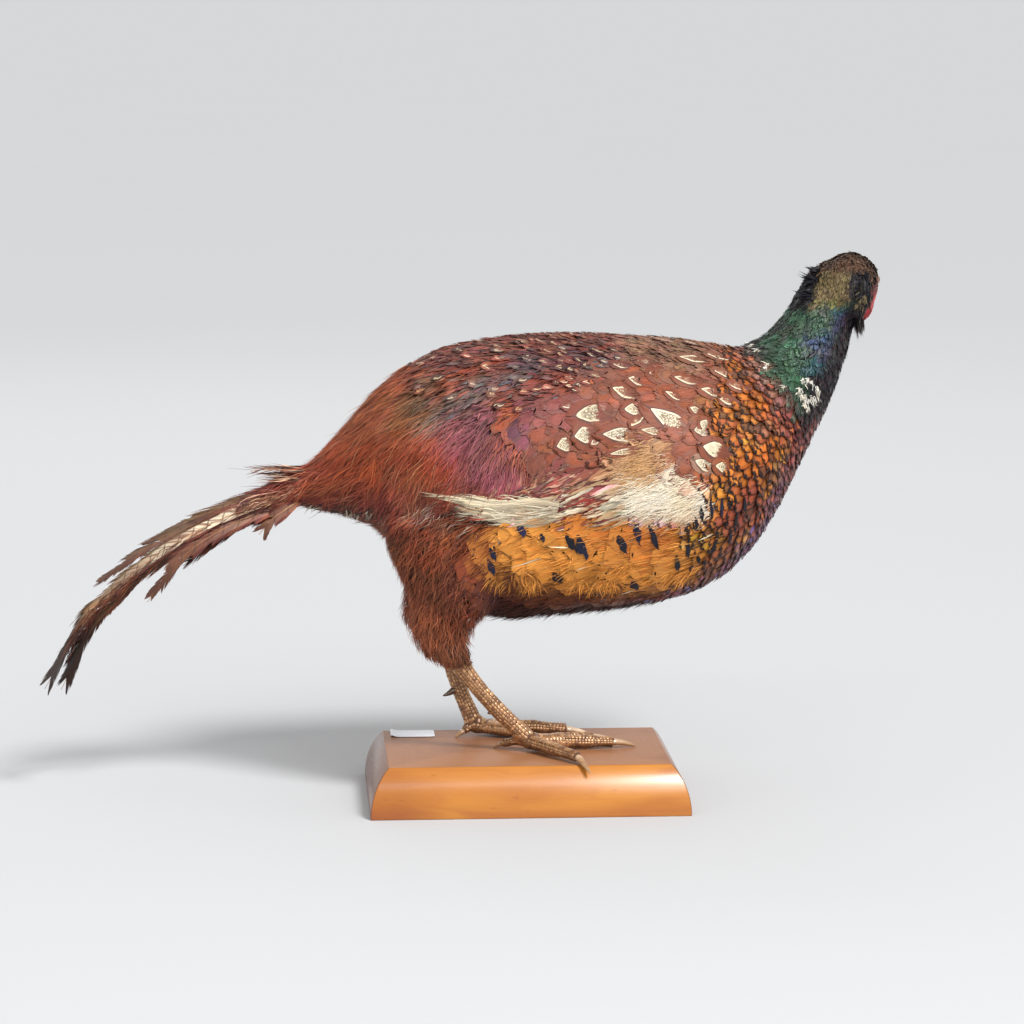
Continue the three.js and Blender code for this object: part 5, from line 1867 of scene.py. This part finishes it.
def scales_on(coat, surface, line, top, radius, columns, dice, strip, start=0.0, stop=1.0):
    """Rows of raised plates round a limb: columns of (angle, half angle, length in mm, height in mm)."""
    far = lengths(line)
    way = unit(np.gradient(line, axis=0))
    first = flat_on(np.broadcast_to(np.array(top, float), line.shape), way)
    second = np.cross(way, first)
    rows, cols = 6, 6
    r, c = np.meshgrid(np.linspace(-1, 1, rows), np.linspace(-1, 1, cols), indexing="ij")
    cast = surface.tree.ray_cast
    for j, (angle, half, length, height) in enumerate(columns):
        shift = 0.5 * (j % 2)
        centres = np.arange(far[-1] * start + shift * length * MM, far[-1] * stop, length * MM)
        if not len(centres):
            continue
        n = len(centres)
        a = centres[:, None, None] + (r * length * MM * 0.5
                                      * 1.04)[None] * dice.uniform(0.86, 1.1, n)[:, None, None]
        turn = np.radians(angle + c[None] * half * np.sqrt(1 - 0.3 * r[None] ** 2)
                          * dice.uniform(0.95, 1.05, n)[:, None, None])
        at = at_length(a, far, line)
        e1 = at_length(a, far, first)
        e2 = at_length(a, far, second)
        out = unit(e1 * np.cos(turn)[..., None] + e2 * np.sin(turn)[..., None])
        flat, way_out = at.reshape(-1, 3), out.reshape(-1, 3)
        hit = np.empty_like(flat)
        good = np.ones(len(flat), bool)
        for i, (p, d) in enumerate(zip(flat.tolist(), way_out.tolist())):
            place = cast(p, d, 0.016)[0]
            good[i] = place is not None
            hit[i] = place if place is not None else flat[i] + way_out[i] * radius * MM
        bulge = height * (1 - r**6) * (1 - c**6) * (1.12 - 0.12 * r) - 0.14
        points = hit.reshape(at.shape) + out * (bulge * MM)[None, ..., None]
        good = good.reshape(n, -1).all(1)
        points, centres, n = points[good], centres[good], int(good.sum())
        if not n:
            continue
        vane = np.broadcast_to(np.stack([0.5 + 0.5 * c, 0.5 + 0.5 * r], -1), (n, rows, cols, 2))
        rim = np.broadcast_to(1 - np.maximum(np.abs(r), np.abs(c)), (n, rows, cols))
        tone = blend_of(np.array(dye(200, 152, 104)), np.array(dye(128, 87, 57)),
                        np.clip(dice.normal(0.5, 0.34, n), 0, 1))
        tone = tone * np.exp(dice.normal(0, 0.08, (n, 1)))
        strip_place = np.stack([np.full(n, strip * 40 * MM + math.radians(angle) * radius * MM), centres],
                               1)
        coat.add(points, tone, tone * 0.7, vane, rim, dice.random(n), strip_place)


def leg_coat():
    """Plates and small scales of the tarsi and toes."""
    dice = np.random.default_rng(26)
    r = Recipe("leg_scales", Roughness=0.32, Specular_IOR_Level=0.6, Metallic=0.3, Coat_Weight=0.3,
               Coat_Roughness=0.15)
    ground, mark, rim = r.colour_of("tint"), r.colour_of("mark"), r.value_of("rim")
    grain = r.noise(r.places(), 1500.0, 3.0, 0.6)
    colour = r.mix(rim.between(0.16, 0.0), ground, mark)
    colour = r.shaded(grain.between(0.55, 0.72) * 0.3, colour, (0.5, 0.44, 0.38))
    r.bump(grain, 0.25, 0.0003)
    coat = Coat("leg_scales", "scaly_skin", r.finish(colour, 0.26 + grain * 0.18))
    for strip, (toe, line, top, radius) in enumerate(leg_runs()):
        if toe == 0:
            sides = [(s * a, half, long, 0.3) for a, half, long in ((58, 15, 2.8), (87, 13, 2.5),
                                                                    (112, 12, 2.3), (135, 11, 2.4))
                     for s in SIDES]
            columns = [(-21, 21.5, 3.3, 0.45), (21, 21.5, 3.3, 0.45), (-161, 17, 3.0, 0.4),
                       (161, 17, 3.0, 0.4), *sides]
            scales_on(coat, MADE["skin"], line, top, radius, columns, dice, strip, 0.25, 0.97)
        else:
            columns = [(0, 52, 2.3, 0.5), *[(s * a, 14, 2.1, 0.3) for a in (66, 94) for s in SIDES]]
            scales_on(coat, MADE["skin"], line, top, radius, columns, dice, strip, 0.1 if toe != 1 else 0.2,
                      0.99)
    coat.finish()


def claws_and_spurs():
    """Claws and spurs, rounded from their solids."""
    for kind, names in (("claws", [f"claw_{s}_{k}" for s in ("left", "right") for k in (1, 2, 3, 4)]),
                        ("spurs", ["spur_left", "spur_right"])):
        piece = copy_of(*names, swell=(0.6 if kind == "claws" else 0.25) * MM)
        modify(piece, "SUBSURF", levels=2, render_levels=2)
        choose(piece)
        bpy.ops.object.shade_smooth()
        r = Recipe(kind, Roughness=0.3, Specular_IOR_Level=0.55, Coat_Weight=0.3, Coat_Roughness=0.15)
        place = r.places()
        x, y, z = r.parts(place)
        streak = r.noise(r.scaled(place, (120, 500, 500)), 1.0, 3.0)
        if kind == "claws":
            pale = ((z * 1000).between(34.0, 38.5) * 0.5
                    + (y * 1000).between(20.0, 34.0) * (x * 1000).between(24.0, 38.0) * 0.6).least(1.0)
            colour = r.mix(pale, dye(166, 128, 92), dye(238, 210, 176))
            colour = r.mix(streak.between(0.4, 0.7) * 0.5, colour, dye(120, 84, 54))
        else:
            colour = r.mix(streak, dye(58, 38, 26), dye(110, 78, 52))
        r.bump(streak, 0.3, 0.0003)
        finished(piece, kind, r.finish(colour), "claws", *names)


# ---- head ----
def eyes():
    """Glass eyes: amber iris, black pupil, clear bulge; and the lids round them."""
    r = Recipe("glass_eye", Roughness=0.04, Specular_IOR_Level=0.7, Coat_Weight=1.0, Coat_Roughness=0.02)
    ring = r.value_of("ring")
    spokes = r.noise(r.vector(r.value_of("round") * 14, ring * 2, 0.0), 1.5, 3.0)
    iris = r.mix(spokes, dye(112, 58, 16), dye(168, 104, 34))
    iris = r.mix(ring.between(0.46, 0.6), iris, dye(50, 26, 14))
    glass = r.finish(r.mix(ring.between(0.27, 0.31), dye(4, 3, 3),
                           r.mix(ring.between(0.6, 0.66), iris, dye(12, 8, 7))))
    lid_look = Recipe("eyelid", Roughness=0.5, Specular_IOR_Level=0.4)
    folds = lid_look.noise(lid_look.places(), 1400.0, 3.0)
    lid_look.bump(folds, 0.5, 0.0004)
    lid_skin = lid_look.finish(lid_look.mix(folds.between(0.35, 0.65), dye(52, 24, 22), dye(96, 48, 42)))
    size = EYE["radius"] * 0.94
    for name, hand in (("left", 1), ("right", -1)):
        axis = Vector(HEAD_TURN @ np.array([0.18, hand * 1.0, 0.04])).normalized()
        centre = Vector(head_points([EYE["along"], hand * EYE["side"], EYE["up"]])) - axis * 0.8 * MM
        clear_choice()
        bpy.ops.mesh.primitive_uv_sphere_add(segments=48, ring_count=32, radius=size, location=centre)
        eye = bpy.context.active_object
        eye.rotation_euler = axis.to_track_quat("Z", "Y").to_euler()
        settle()
        co = mesh_points(eye)
        off = co - np.array(centre)
        along = (off @ np.array(axis)) / size
        spread = np.arccos(np.clip(along, -1, 1)) / math.pi * 2
        bulge = ease(0.62, 0.1, spread) * 0.3 * MM
        move_points(eye, co + np.array(axis) * bulge[:, None])
        side = np.array(axis.orthogonal().normalized())
        other = np.cross(np.array(axis), side)
        give(eye.data, "ring", spread)
        give(eye.data, "round", np.arctan2(off @ other, off @ side))
        bpy.ops.object.shade_smooth()
        finished(eye, f"eye_glass_{name}", glass, "eye", f"eye_{name}")

        clear_choice()
        bpy.ops.mesh.primitive_torus_add(major_radius=4.1 * MM, minor_radius=1.15 * MM, major_segments=48,
                                         minor_segments=14, location=centre + axis * 2.7 * MM)
        lid = bpy.context.active_object
        lid.rotation_euler = axis.to_track_quat("Z", "Y").to_euler()
        settle()
        co = mesh_points(lid)
        local = on_head(co)
        high = (local[:, 2] - EYE["up"]) / (4.4 * MM)
        local[:, 2] = EYE["up"] + (local[:, 2] - EYE["up"]) * (1 - 0.2 * (high > 0))
        wrinkle = (mottle(local, 1.6 * MM, 3) - 0.5) * 0.5 * MM
        local[:, 1] += hand * (wrinkle - 0.7 * MM * np.clip(local[:, 0] / MM - 9, -5, 5) / 12)
        move_points(lid, head_points(local))
        bpy.ops.object.shade_smooth()
        finished(lid, f"eyelid_{name}", lid_skin, "wattle", f"eye_{name}")


def bill():
    """Both halves of the bill, with the cutting edge, nostril and hooked tip."""
    r = Recipe("bill_horn", Roughness=0.34, Specular_IOR_Level=0.5, Coat_Weight=0.25, Coat_Roughness=0.2)
    place = r.places()
    out = r.value_of("out")
    streak = r.noise(r.scaled(place, (260, 260, 700)), 1.0, 3.0, 0.6)
    colour = r.mix((out + (streak - 0.5) * 0.4).between(0.1, 0.85), dye(116, 100, 74), dye(206, 190, 150))
    colour = r.mix(streak.between(0.5, 0.75) * 0.45, colour, dye(84, 66, 46))
    r.bump(streak, 0.35, 0.0004)
    horn = r.finish(colour, 0.28 + streak * 0.2)
    for upper in (True, False):
        rows, around = 26, 32
        u = np.linspace(0, 1, rows)[:, None]
        angle = np.linspace(0, 2 * math.pi, around, endpoint=False)[None]
        length = BILL["upper"] if upper else BILL["lower"]
        depth = (BILL["depth"] if upper else BILL["jaw"]) / MM
        way = 1 if upper else -1
        slim = 1 - 0.86 * u**1.4
        drop = (BILL["hook"] if upper else BILL["hook"] * 0.35) / MM * u**2.2
        lift = np.cos(angle) * way
        top = np.where(lift * way > 0, np.abs(lift) ** 0.85 * depth * slim, 0)
        round_top = np.sign(np.sin(angle)) * np.abs(np.sin(angle)) ** 0.9
        wide = BILL["half"] / MM * slim * (1 + (0.05 if upper else -0.06))
        y = round_top * wide
        z = -1.5 + way * 0.15 - drop + way * top
        if not upper:
            z = -1.8 - drop - np.where(np.cos(angle) > 0, np.abs(np.cos(angle)) ** 0.85 * depth * slim, 0)
        edge = np.exp(-((np.cos(angle)) ** 2) * 40) * (0.35 if upper else 0.1)
        x = BILL["root"] / MM + u * length / MM + 0 * angle
        if upper:
            pit = np.exp(-(((u - 0.2) / 0.075) ** 2)
                         - ((np.abs(y) / wide - 0.72) / 0.2) ** 2) * (np.cos(angle) > 0)
            flap = np.exp(-(((u - 0.19) / 0.1) ** 2)
                          - ((np.abs(y) / wide - 0.45) / 0.22) ** 2) * (np.cos(angle) > 0)
            y = y * (1 - 0.3 * pit + 0.1 * flap)
            z = z - 0.9 * pit + 0.55 * flap
        y = y * (1 + 0.12 * edge)
        grid = np.stack([x, y, z + 0 * angle], -1).reshape(-1, 3) * MM
        centre = np.array([[BILL["root"], 0, -1.5 * MM], [BILL["root"] + length, 0,
                                                          (-1.5 - drop[-1, 0]) * MM]])
        points = head_points(np.concatenate([grid, centre]))
        faces = []
        for i in range(rows - 1):
            for j in range(around):
                k = (j + 1) % around
                faces.append((i * around + j, (i + 1) * around + j, (i + 1) * around + k, i * around + k))
        for j in range(around):
            k = (j + 1) % around
            faces.append((rows * around, j, k))
            faces.append((rows * around + 1, (rows - 1) * around + k, (rows - 1) * around + j))
        piece = choose(put("half", points, faces))
        face_outwards()
        bpy.ops.object.shade_smooth()
        give(piece.data, "out", np.clip((on_head(points)[:, 0] - BILL["root"]) / length, 0, 1))
        name, node = ("bill_top", "bill_upper") if upper else ("bill_jaw", "bill_lower")
        finished(piece, name, horn, "horn", node)


def face():
    """Warty red skin of the face, ear tufts, and the dark tufts of chin and lores."""
    dice = np.random.default_rng(27)
    r = Recipe("wattle_skin", Roughness=0.36, Specular_IOR_Level=0.5)
    grain = r.noise(r.places(), 1300.0, 3.0)
    rim = r.value_of("rim")
    # the foot of each wart runs to its dark mark colour: painted shade in the creases between warts
    colour = r.mix(rim.between(0.5, 0.0), r.colour_of("tint"), r.colour_of("mark"))
    r.bump(grain, 0.3, 0.0003)
    coat = Coat("face_warts", "wattle", r.finish(colour), "wattle_left", "wattle_right")
    skin = MADE["skin"]
    cloud = skin.sown(SOWN["face"], dice)
    cloud = cloud[np.linalg.norm(cloud - HEAD_MID, axis=1) < HEAD_REACH]
    local = on_head(cloud)
    eye = np.hypot(local[:, 0] - EYE["along"], local[:, 2] - EYE["up"]) < 5.0 * MM
    p = cloud[(wattle_share(cloud) > 0.45) & ~eye]
    p = apart(p, 1.0, dice)
    at, out = skin.meet(p)
    n = len(at)
    first = flat_on(np.broadcast_to([0.3, 0.2, 1.0], out.shape), out)
    second = np.cross(out, first)
    ring = np.linspace(0, 2 * math.pi, 9)
    steps = np.array([(1.0, -0.15), (0.85, 0.4), (0.5, 0.68), (0.05, 0.76)])
    fold = mottle(at, 5 * MM, 15)
    radius = (0.5 + 0.9 * ease(0.45, 0.75, fold) + dice.uniform(-0.08, 0.16, n))[:, None, None, None] * MM
    disc = steps[None, :, :1, None] * radius
    points = (at[:, None, None] + first[:, None, None] * np.cos(ring)[None, None, :, None] * disc * 1.25
              + second[:, None, None] * np.sin(ring)[None, None, :, None] * disc * 0.8
              + out[:, None, None] * steps[None, :, 1:, None] * radius)
    vane = np.broadcast_to(np.stack(np.meshgrid(np.linspace(0, 1, 9), np.linspace(0, 1, 4)), -1),
                           (n, 4, 9, 2))
    rim = np.broadcast_to(np.array([0, 0.4, 0.8, 1.0])[None, :, None], (n, 4, 9))
    red = wattle_red(at) * (1.1 - 0.6 * ease(0.3, 0.7, mottle(at, 4 * MM, 4))
                            + dice.normal(0, 0.16, n))[:, None]
    # pink patches over the red are painted glossy highlights on the wattle skin
    pink_highlight = ease(0.62, 0.8, mottle(at, 5 * MM, 16))
    red = blend_of(red, np.array(dye(214, 104, 104)), pink_highlight * 0.6)
    # the dark mark colour, red * 0.3, is the painted shade at the foot of each wart
    coat.add(points, red, red * 0.3, vane, rim, dice.random(n), unwrapped(at))
    coat.finish()

    tufts = Coat("ear_tufts", "neck_plumage", MADE["materials"]["strand"], "ear_tuft_left",
                 "ear_tuft_right")

    def tuft(local, way, length, first, second, third=None, away=None, **how):
        local = np.asarray(local) * MM
        at = head_points(local)
        ground = tones(at, dice, first, second, third, 0.25)
        way = np.broadcast_to(unit(np.array(way, float)) @ HEAD_TURN.T, at.shape)
        if away is not None:
            away = unit(np.array(away, float)) @ HEAD_TURN.T
        strands(tufts, at, dice, length, ground, ground * 1.4, way=way, follow=0.0, away=away, **how)

    for hand in SIDES:
        # ear tufts: three clumps, one below the other
        for along, side, up, long in ((-18, 17, 9, 7), (-22, 18, 3, 8.5), (-26, 20, -6, 7)):
            tuft(np.array([along, hand * side, up]) + dice.normal(0, 1.1, (12, 3)),
                 (-0.45 - 0.3 * (hand < 0), hand * 0.85, -0.32), long, "soot", "ink", count=4, spread=0.26,
                 width=2.1 if hand > 0 else 1.0, depth=0.4, rise=3.4 if hand > 0 else 1.2, turn=0.12,
                 cling=0.0 if hand > 0 else 0.8)
        # chin, throat and the corner of the jaw
        tuft(np.stack([dice.uniform(-11, 10, 46), hand * dice.uniform(2, 10, 46),
                       dice.uniform(-23, -20, 46)], 1), (-0.25, hand * 0.1, -1.0), 13, "soot", "ink",
             "umber", count=5, spread=0.4, width=0.8, depth=0.4, rise=0.8, turn=0.25, cling=0.0,
             away=(0.1, hand * 1.0, 0.0))
        tuft(np.stack([dice.uniform(0, 10, 10), np.full(10, hand * 14.0), dice.uniform(9, 12, 10)], 1),
             (-1.0, 0, -0.2), 6, "soot", "bark", count=4, spread=0.5, width=0.7, depth=0.4, rise=0.5,
             turn=0.3, cling=0.9)
    # dark tufts that hang beside the red of the far cheek, some of them over it
    for low, high, number, names in ((-24, -13, 26, ("soot", "ink", "olive")),
                                     (-13, -6, 7, ("soot", "umber", "green"))):
        tuft(np.stack([dice.uniform(low, high, number), np.full(number, -13.5),
                       dice.uniform(-20, 2, number)], 1), (-0.1, 0, -1.0), 7, *names, count=5, spread=0.5,
             width=0.7, depth=0.5, rise=0.9, turn=0.4, cling=0.8)
    tufts.finish()


# ---- base and label ----
def wood(name):
    """Varnished wood in two tones: fronts and ends cut from different boards, the ends also darkened as
    painted shade; the top dusty.
    """
    r = Recipe(name, Specular_IOR_Level=0.35, Coat_Roughness=0.24)
    place = r.places()
    x, y, z = r.parts(place)
    half_length, half_width = BASE["length"] / 2, BASE["width"] / 2
    ends = (abs(x) - half_length - abs(y) + half_width).between(-0.0004, 0.0004)
    along, over = x + (y - x) * ends, y + (x - y) * ends
    warp = r.noise(r.scaled(place, (8, 30, 30)), 1.0, 2.0)
    bands = r.noise(r.vector(along * 2.2, over * 40.0 + warp * 4, z * 46.0 + ends * 7), 1.0, 4.0, 0.5, 0.5)
    fibre = r.noise(r.vector(along * 16.0, over * 1000.0, z * 1000.0), 1.0, 3.0, 0.6)
    colour = r.mix(bands.between(0.3, 0.7), dye(192, 124, 44), dye(168, 98, 36))
    colour = r.mix(fibre.between(0.52, 0.75) * 0.22, colour, dye(140, 78, 38))
    # the ends: partly their own board's tone, mostly painted shade on the end faces
    colour = r.shaded(ends * 0.72, colour, (0.3, 0.28, 0.4))
    top = z.between(0.0311, 0.0314)
    faded = r.mix(fibre * 0.5, dye(158, 110, 78), dye(140, 94, 64))
    faded = r.mix(bands.between(0.4, 0.7) * 0.4, faded, dye(128, 84, 58))
    colour = r.mix(top * 0.88, colour, faded)
    red = (x * 1000).between(-55.0, -92.0) * (z * 1000).between(14.0, 2.0)
    colour = r.mix(red * 0.4, colour, dye(150, 54, 34))
    dark = (x * 1000 + warp * 40).between(-26.0, -72.0) * (1 - top)
    colour = r.shaded(dark * 0.6, colour, (0.62, 0.46, 0.4))
    worn = r.noise(place, 140.0, 4.0, 0.7).between(0.62, 0.72)
    colour = r.mix(worn * z.between(0.027, 0.0315) * 0.14, colour, dye(224, 182, 136))
    chip = r.noise(r.scaled(place, (90, 90, 260)), 1.0, 2.0).between(0.7, 0.73)
    colour = r.mix(chip * 0.25, colour, dye(120, 66, 34))
    joint = abs(abs(x) - half_length - abs(y) + half_width).between(0.0005, 0.0002)
    colour = r.mix(joint * (1 - top) * 0.7, colour, dye(96, 52, 28))
    r.bump(fibre * 0.6 + bands * 0.4, 0.1, 0.0005)
    r.feed(r.shader.inputs["Coat Weight"], 0.7 - top * 0.5 - ends * 0.45 * (1 - top))
    return r.finish(colour, top * 0.3 + 0.2 + fibre * 0.12)


def base():
    """Moulded wooden base, modelled down its profile from the flat top."""
    clear_choice()
    bpy.ops.mesh.primitive_plane_add(size=1, location=(0, 0, BASE["height"]))
    piece = bpy.context.active_object
    piece.scale = (BASE["length"], BASE["width"], 1)
    settle()
    bpy.ops.object.mode_set(mode="EDIT")
    bpy.ops.mesh.select_all(action="SELECT")
    steps = 16
    crease = BASE["crease"]
    before, level = 0.0, BASE["height"]
    for k in range(1, steps + 1):
        angle = crease + (math.pi / 2 - crease) * k / steps
        out = BASE["flare"] * (math.sin(angle) - math.sin(crease)) / (1 - math.sin(crease))
        height = BASE["height"] * math.cos(angle) / math.cos(crease)
        bpy.ops.mesh.extrude_region_move(TRANSFORM_OT_translate={"value": (0, 0, height - level)})
        grow = [(size + 2 * out) / (size + 2 * before) for size in (BASE["length"], BASE["width"])]
        bpy.ops.transform.resize(value=(*grow, 1), center_override=(0, 0, height))
        before, level = out, height
    face_outwards()
    modify(piece, "BEVEL", width=0.7 * MM, segments=3, limit_method="ANGLE", angle_limit=math.radians(28))
    choose(piece)
    bpy.ops.object.shade_smooth_by_angle(angle=math.radians(32))
    finished(piece, "wooden_base", wood("varnished_wood"), "wood", "base")


def label():
    """Blank paper label, its corners lifted a little."""
    low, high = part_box("label")
    clear_choice()
    bpy.ops.mesh.primitive_grid_add(x_subdivisions=24, y_subdivisions=18, size=1,
                                    location=((low.x + high.x) / 2, (low.y + high.y) / 2, low.z + 0.1 * MM))
    piece = bpy.context.active_object
    piece.scale = (high.x - low.x, high.y - low.y, 1)
    settle()
    modify(piece, "SOLIDIFY", thickness=0.16 * MM, offset=1)
    co = mesh_points(piece)
    mid = np.array([(low.x + high.x) / 2, (low.y + high.y) / 2])
    off = (co[:, :2] - mid) / [(high.x - low.x) / 2, (high.y - low.y) / 2]
    corner = np.clip(np.abs(off).min(1) - 0.55, 0, 1) * 2.2
    co[:, 2] += corner**2 * 1.1 * MM * (off[:, 0] < 0) + (mottle(co, 9 * MM, 2) - 0.5) * 0.12 * MM
    rounded = np.abs(off).min(1) > 0.9
    co[:, :2] -= off * (rounded[:, None] * 0.5 * MM)
    move_points(piece, co)
    r = Recipe("label_paper", Roughness=0.85, Specular_IOR_Level=0.2)
    fibre = r.noise(r.scaled(r.places(), (900, 1300, 900)), 1.0, 3.0, 0.6)
    stain = r.noise(r.places(), 120.0, 3.0)
    colour = r.mix(fibre.between(0.3, 0.7), dye(244, 246, 250), dye(234, 236, 242))
    colour = r.mix(stain.between(0.55, 0.75) * 0.25, colour, dye(224, 220, 208))
    r.bump(fibre, 0.12, 0.0002)
    finished(piece, "paper_label", r.finish(colour), "paper", "label")


# ---- operators ----
class PheasantSettings(bpy.types.PropertyGroup):
    feather_size: FloatProperty(name="Feather size",
                                description="Size of the contour feathers against the real bird's",
                                default=1.0, min=0.5, max=1.5, subtype="FACTOR")
    skin_grain: FloatProperty(name="Skin grain",
                              description="Size of the steps that the skin is modelled in", default=0.002,
                              min=0.0012, max=0.004, unit="LENGTH", subtype="DISTANCE")
    floor_colour: FloatVectorProperty(name="Floor", description="Colour of the pale floor", subtype="COLOR",
                                      default=(0.52, 0.525, 0.53), min=0, max=1)
    key_light: FloatProperty(name="Key light", description="Power of the large soft lamp", default=16.0,
                             min=0, unit="POWER")


class PHEASANT_OT_stage(bpy.types.Operator):
    """Pale floor, soft lamps and the camera"""
    bl_idname = "pheasant.stage"
    bl_label = "Stage"

    def execute(self, context):
        settings = context.scene.pheasant
        clear_choice()
        bpy.ops.mesh.primitive_plane_add(size=1600, location=(0, 0, 0))
        floor = context.active_object
        floor.name = "floor"
        r = Recipe("floor", Roughness=1.0, Specular_IOR_Level=0.0)
        cloud = r.noise(r.places(), 1.4, 3.0)
        floor.data.materials.append(r.finish(r.mix(cloud, tuple(settings.floor_colour),
                                                   tuple(c * 1.015 for c in settings.floor_colour))))
        world = bpy.data.worlds.new("studio")
        context.scene.world = world
        world.use_nodes = True
        world.node_tree.nodes["Background"].inputs["Color"].default_value = (0.985, 0.99, 1.0, 1)
        world.node_tree.nodes["Background"].inputs["Strength"].default_value = 0.68
        for name, place, target, size, power in LAMPS:
            clear_choice()
            bpy.ops.object.light_add(type="AREA", location=place)
            lamp = context.active_object
            lamp.name = name
            lamp.data.shape = "RECTANGLE"
            lamp.data.size, lamp.data.size_y = size
            lamp.data.energy = settings.key_light * power
            lamp.rotation_euler = (Vector(target) - Vector(place)).to_track_quat("-Z", "Y").to_euler()
        clear_choice()
        bpy.ops.object.light_add(type="SUN", rotation=(math.radians(42), 0, math.radians(36)))
        sun = context.active_object
        sun.name = "soft_sun"
        sun.data.energy, sun.data.angle = 2.6, math.radians(14)
        bpy.ops.object.camera_add(location=CAMERA["place"])
        camera = context.active_object
        camera.data.lens, camera.data.sensor_width = CAMERA["lens"], CAMERA["sensor"]
        camera.data.clip_end = 1000
        camera.rotation_euler = Vector(CAMERA["way"]).to_track_quat("-Z", "Y").to_euler()
        context.scene.camera = camera
        context.scene.view_settings.view_transform = "Standard"
        return {"FINISHED"}


class PHEASANT_OT_skin(bpy.types.Operator):
    """One skin over trunk, neck, head, legs and feet, inside the coat"""
    bl_idname = "pheasant.skin"
    bl_label = "Skin"

    def execute(self, context):
        grow_skin(context.scene.pheasant.skin_grain)
        sow(np.random.default_rng(11))
        MADE["materials"] = coat_materials()
        return {"FINISHED"}


class PHEASANT_OT_trunk_coat(bpy.types.Operator):
    """Contour feathers of the trunk"""
    bl_idname = "pheasant.trunk_coat"
    bl_label = "Trunk feathers"

    def execute(self, context):
        trunk_coat(context.scene.pheasant.feather_size)
        return {"FINISHED"}


class PHEASANT_OT_wing_coat(bpy.types.Operator):
    """Coverts, primaries and down of the folded wings"""
    bl_idname = "pheasant.wing_coat"
    bl_label = "Wing feathers"

    def execute(self, context):
        wing_coat(context.scene.pheasant.feather_size)
        return {"FINISHED"}


class PHEASANT_OT_loose_coat(bpy.types.Operator):
    """Hair-like plumes of rump, thighs and belly"""
    bl_idname = "pheasant.loose_coat"
    bl_label = "Loose plumes"

    def execute(self, context):
        loose_coat()
        return {"FINISHED"}


class PHEASANT_OT_neck_coat(bpy.types.Operator):
    """Glossy neck and head feathers"""
    bl_idname = "pheasant.neck_coat"
    bl_label = "Neck and head feathers"

    def execute(self, context):
        neck_coat()
        return {"FINISHED"}


class PHEASANT_OT_tail(bpy.types.Operator):
    """Worn tail feathers and the coverts over their roots"""
    bl_idname = "pheasant.tail"
    bl_label = "Tail"

    def execute(self, context):
        tail_coat()
        return {"FINISHED"}


class PHEASANT_OT_legs(bpy.types.Operator):
    """Scales of the legs and feet"""
    bl_idname = "pheasant.legs"
    bl_label = "Leg scales"

    def execute(self, context):
        leg_coat()
        return {"FINISHED"}


class PHEASANT_OT_claws(bpy.types.Operator):
    """Claws and spurs"""
    bl_idname = "pheasant.claws"
    bl_label = "Claws and spurs"

    def execute(self, context):
        claws_and_spurs()
        return {"FINISHED"}


class PHEASANT_OT_eyes(bpy.types.Operator):
    """Glass eyes and their lids"""
    bl_idname = "pheasant.eyes"
    bl_label = "Eyes"

    def execute(self, context):
        eyes()
        return {"FINISHED"}


class PHEASANT_OT_bill(bpy.types.Operator):
    """Upper and lower bill"""
    bl_idname = "pheasant.bill"
    bl_label = "Bill"

    def execute(self, context):
        bill()
        return {"FINISHED"}


class PHEASANT_OT_face(bpy.types.Operator):
    """Red face, ear tufts and chin"""
    bl_idname = "pheasant.face"
    bl_label = "Face"

    def execute(self, context):
        face()
        return {"FINISHED"}


class PHEASANT_OT_base(bpy.types.Operator):
    """Moulded wooden base"""
    bl_idname = "pheasant.base"
    bl_label = "Base"

    def execute(self, context):
        base()
        return {"FINISHED"}


class PHEASANT_OT_label(bpy.types.Operator):
    """Blank paper label"""
    bl_idname = "pheasant.label"
    bl_label = "Label"

    def execute(self, context):
        label()
        return {"FINISHED"}


PARTS = (PHEASANT_OT_stage, PHEASANT_OT_skin, PHEASANT_OT_trunk_coat, PHEASANT_OT_wing_coat,
         PHEASANT_OT_loose_coat, PHEASANT_OT_neck_coat, PHEASANT_OT_tail, PHEASANT_OT_legs,
         PHEASANT_OT_claws, PHEASANT_OT_eyes, PHEASANT_OT_bill, PHEASANT_OT_face, PHEASANT_OT_base,
         PHEASANT_OT_label)


class PHEASANT_PT_panel(bpy.types.Panel):
    """Lists the parts of the bird in the order they are made"""
    bl_idname = "PHEASANT_PT_panel"
    bl_label = "Mounted pheasant"
    bl_space_type = "VIEW_3D"
    bl_region_type = "UI"
    bl_category = "Pheasant"

    def draw(self, context):
        settings = context.scene.pheasant
        for name in settings.bl_rna.properties.keys():
            if name not in ("rna_type", "name"):
                self.layout.prop(settings, name)
        for part in PARTS:
            self.layout.operator(part.bl_idname)


def register():
    for made in (PheasantSettings, *PARTS, PHEASANT_PT_panel):
        bpy.utils.register_class(made)
    bpy.types.Scene.pheasant = PointerProperty(type=PheasantSettings)


def unregister():
    del bpy.types.Scene.pheasant
    for made in reversed((PheasantSettings, *PARTS, PHEASANT_PT_panel)):
        bpy.utils.unregister_class(made)


def main():
    register()
    for part in PARTS:
        family, name = part.bl_idname.split(".")
        getattr(getattr(bpy.ops, family), name)()


if __name__ == "__main__":
    main()
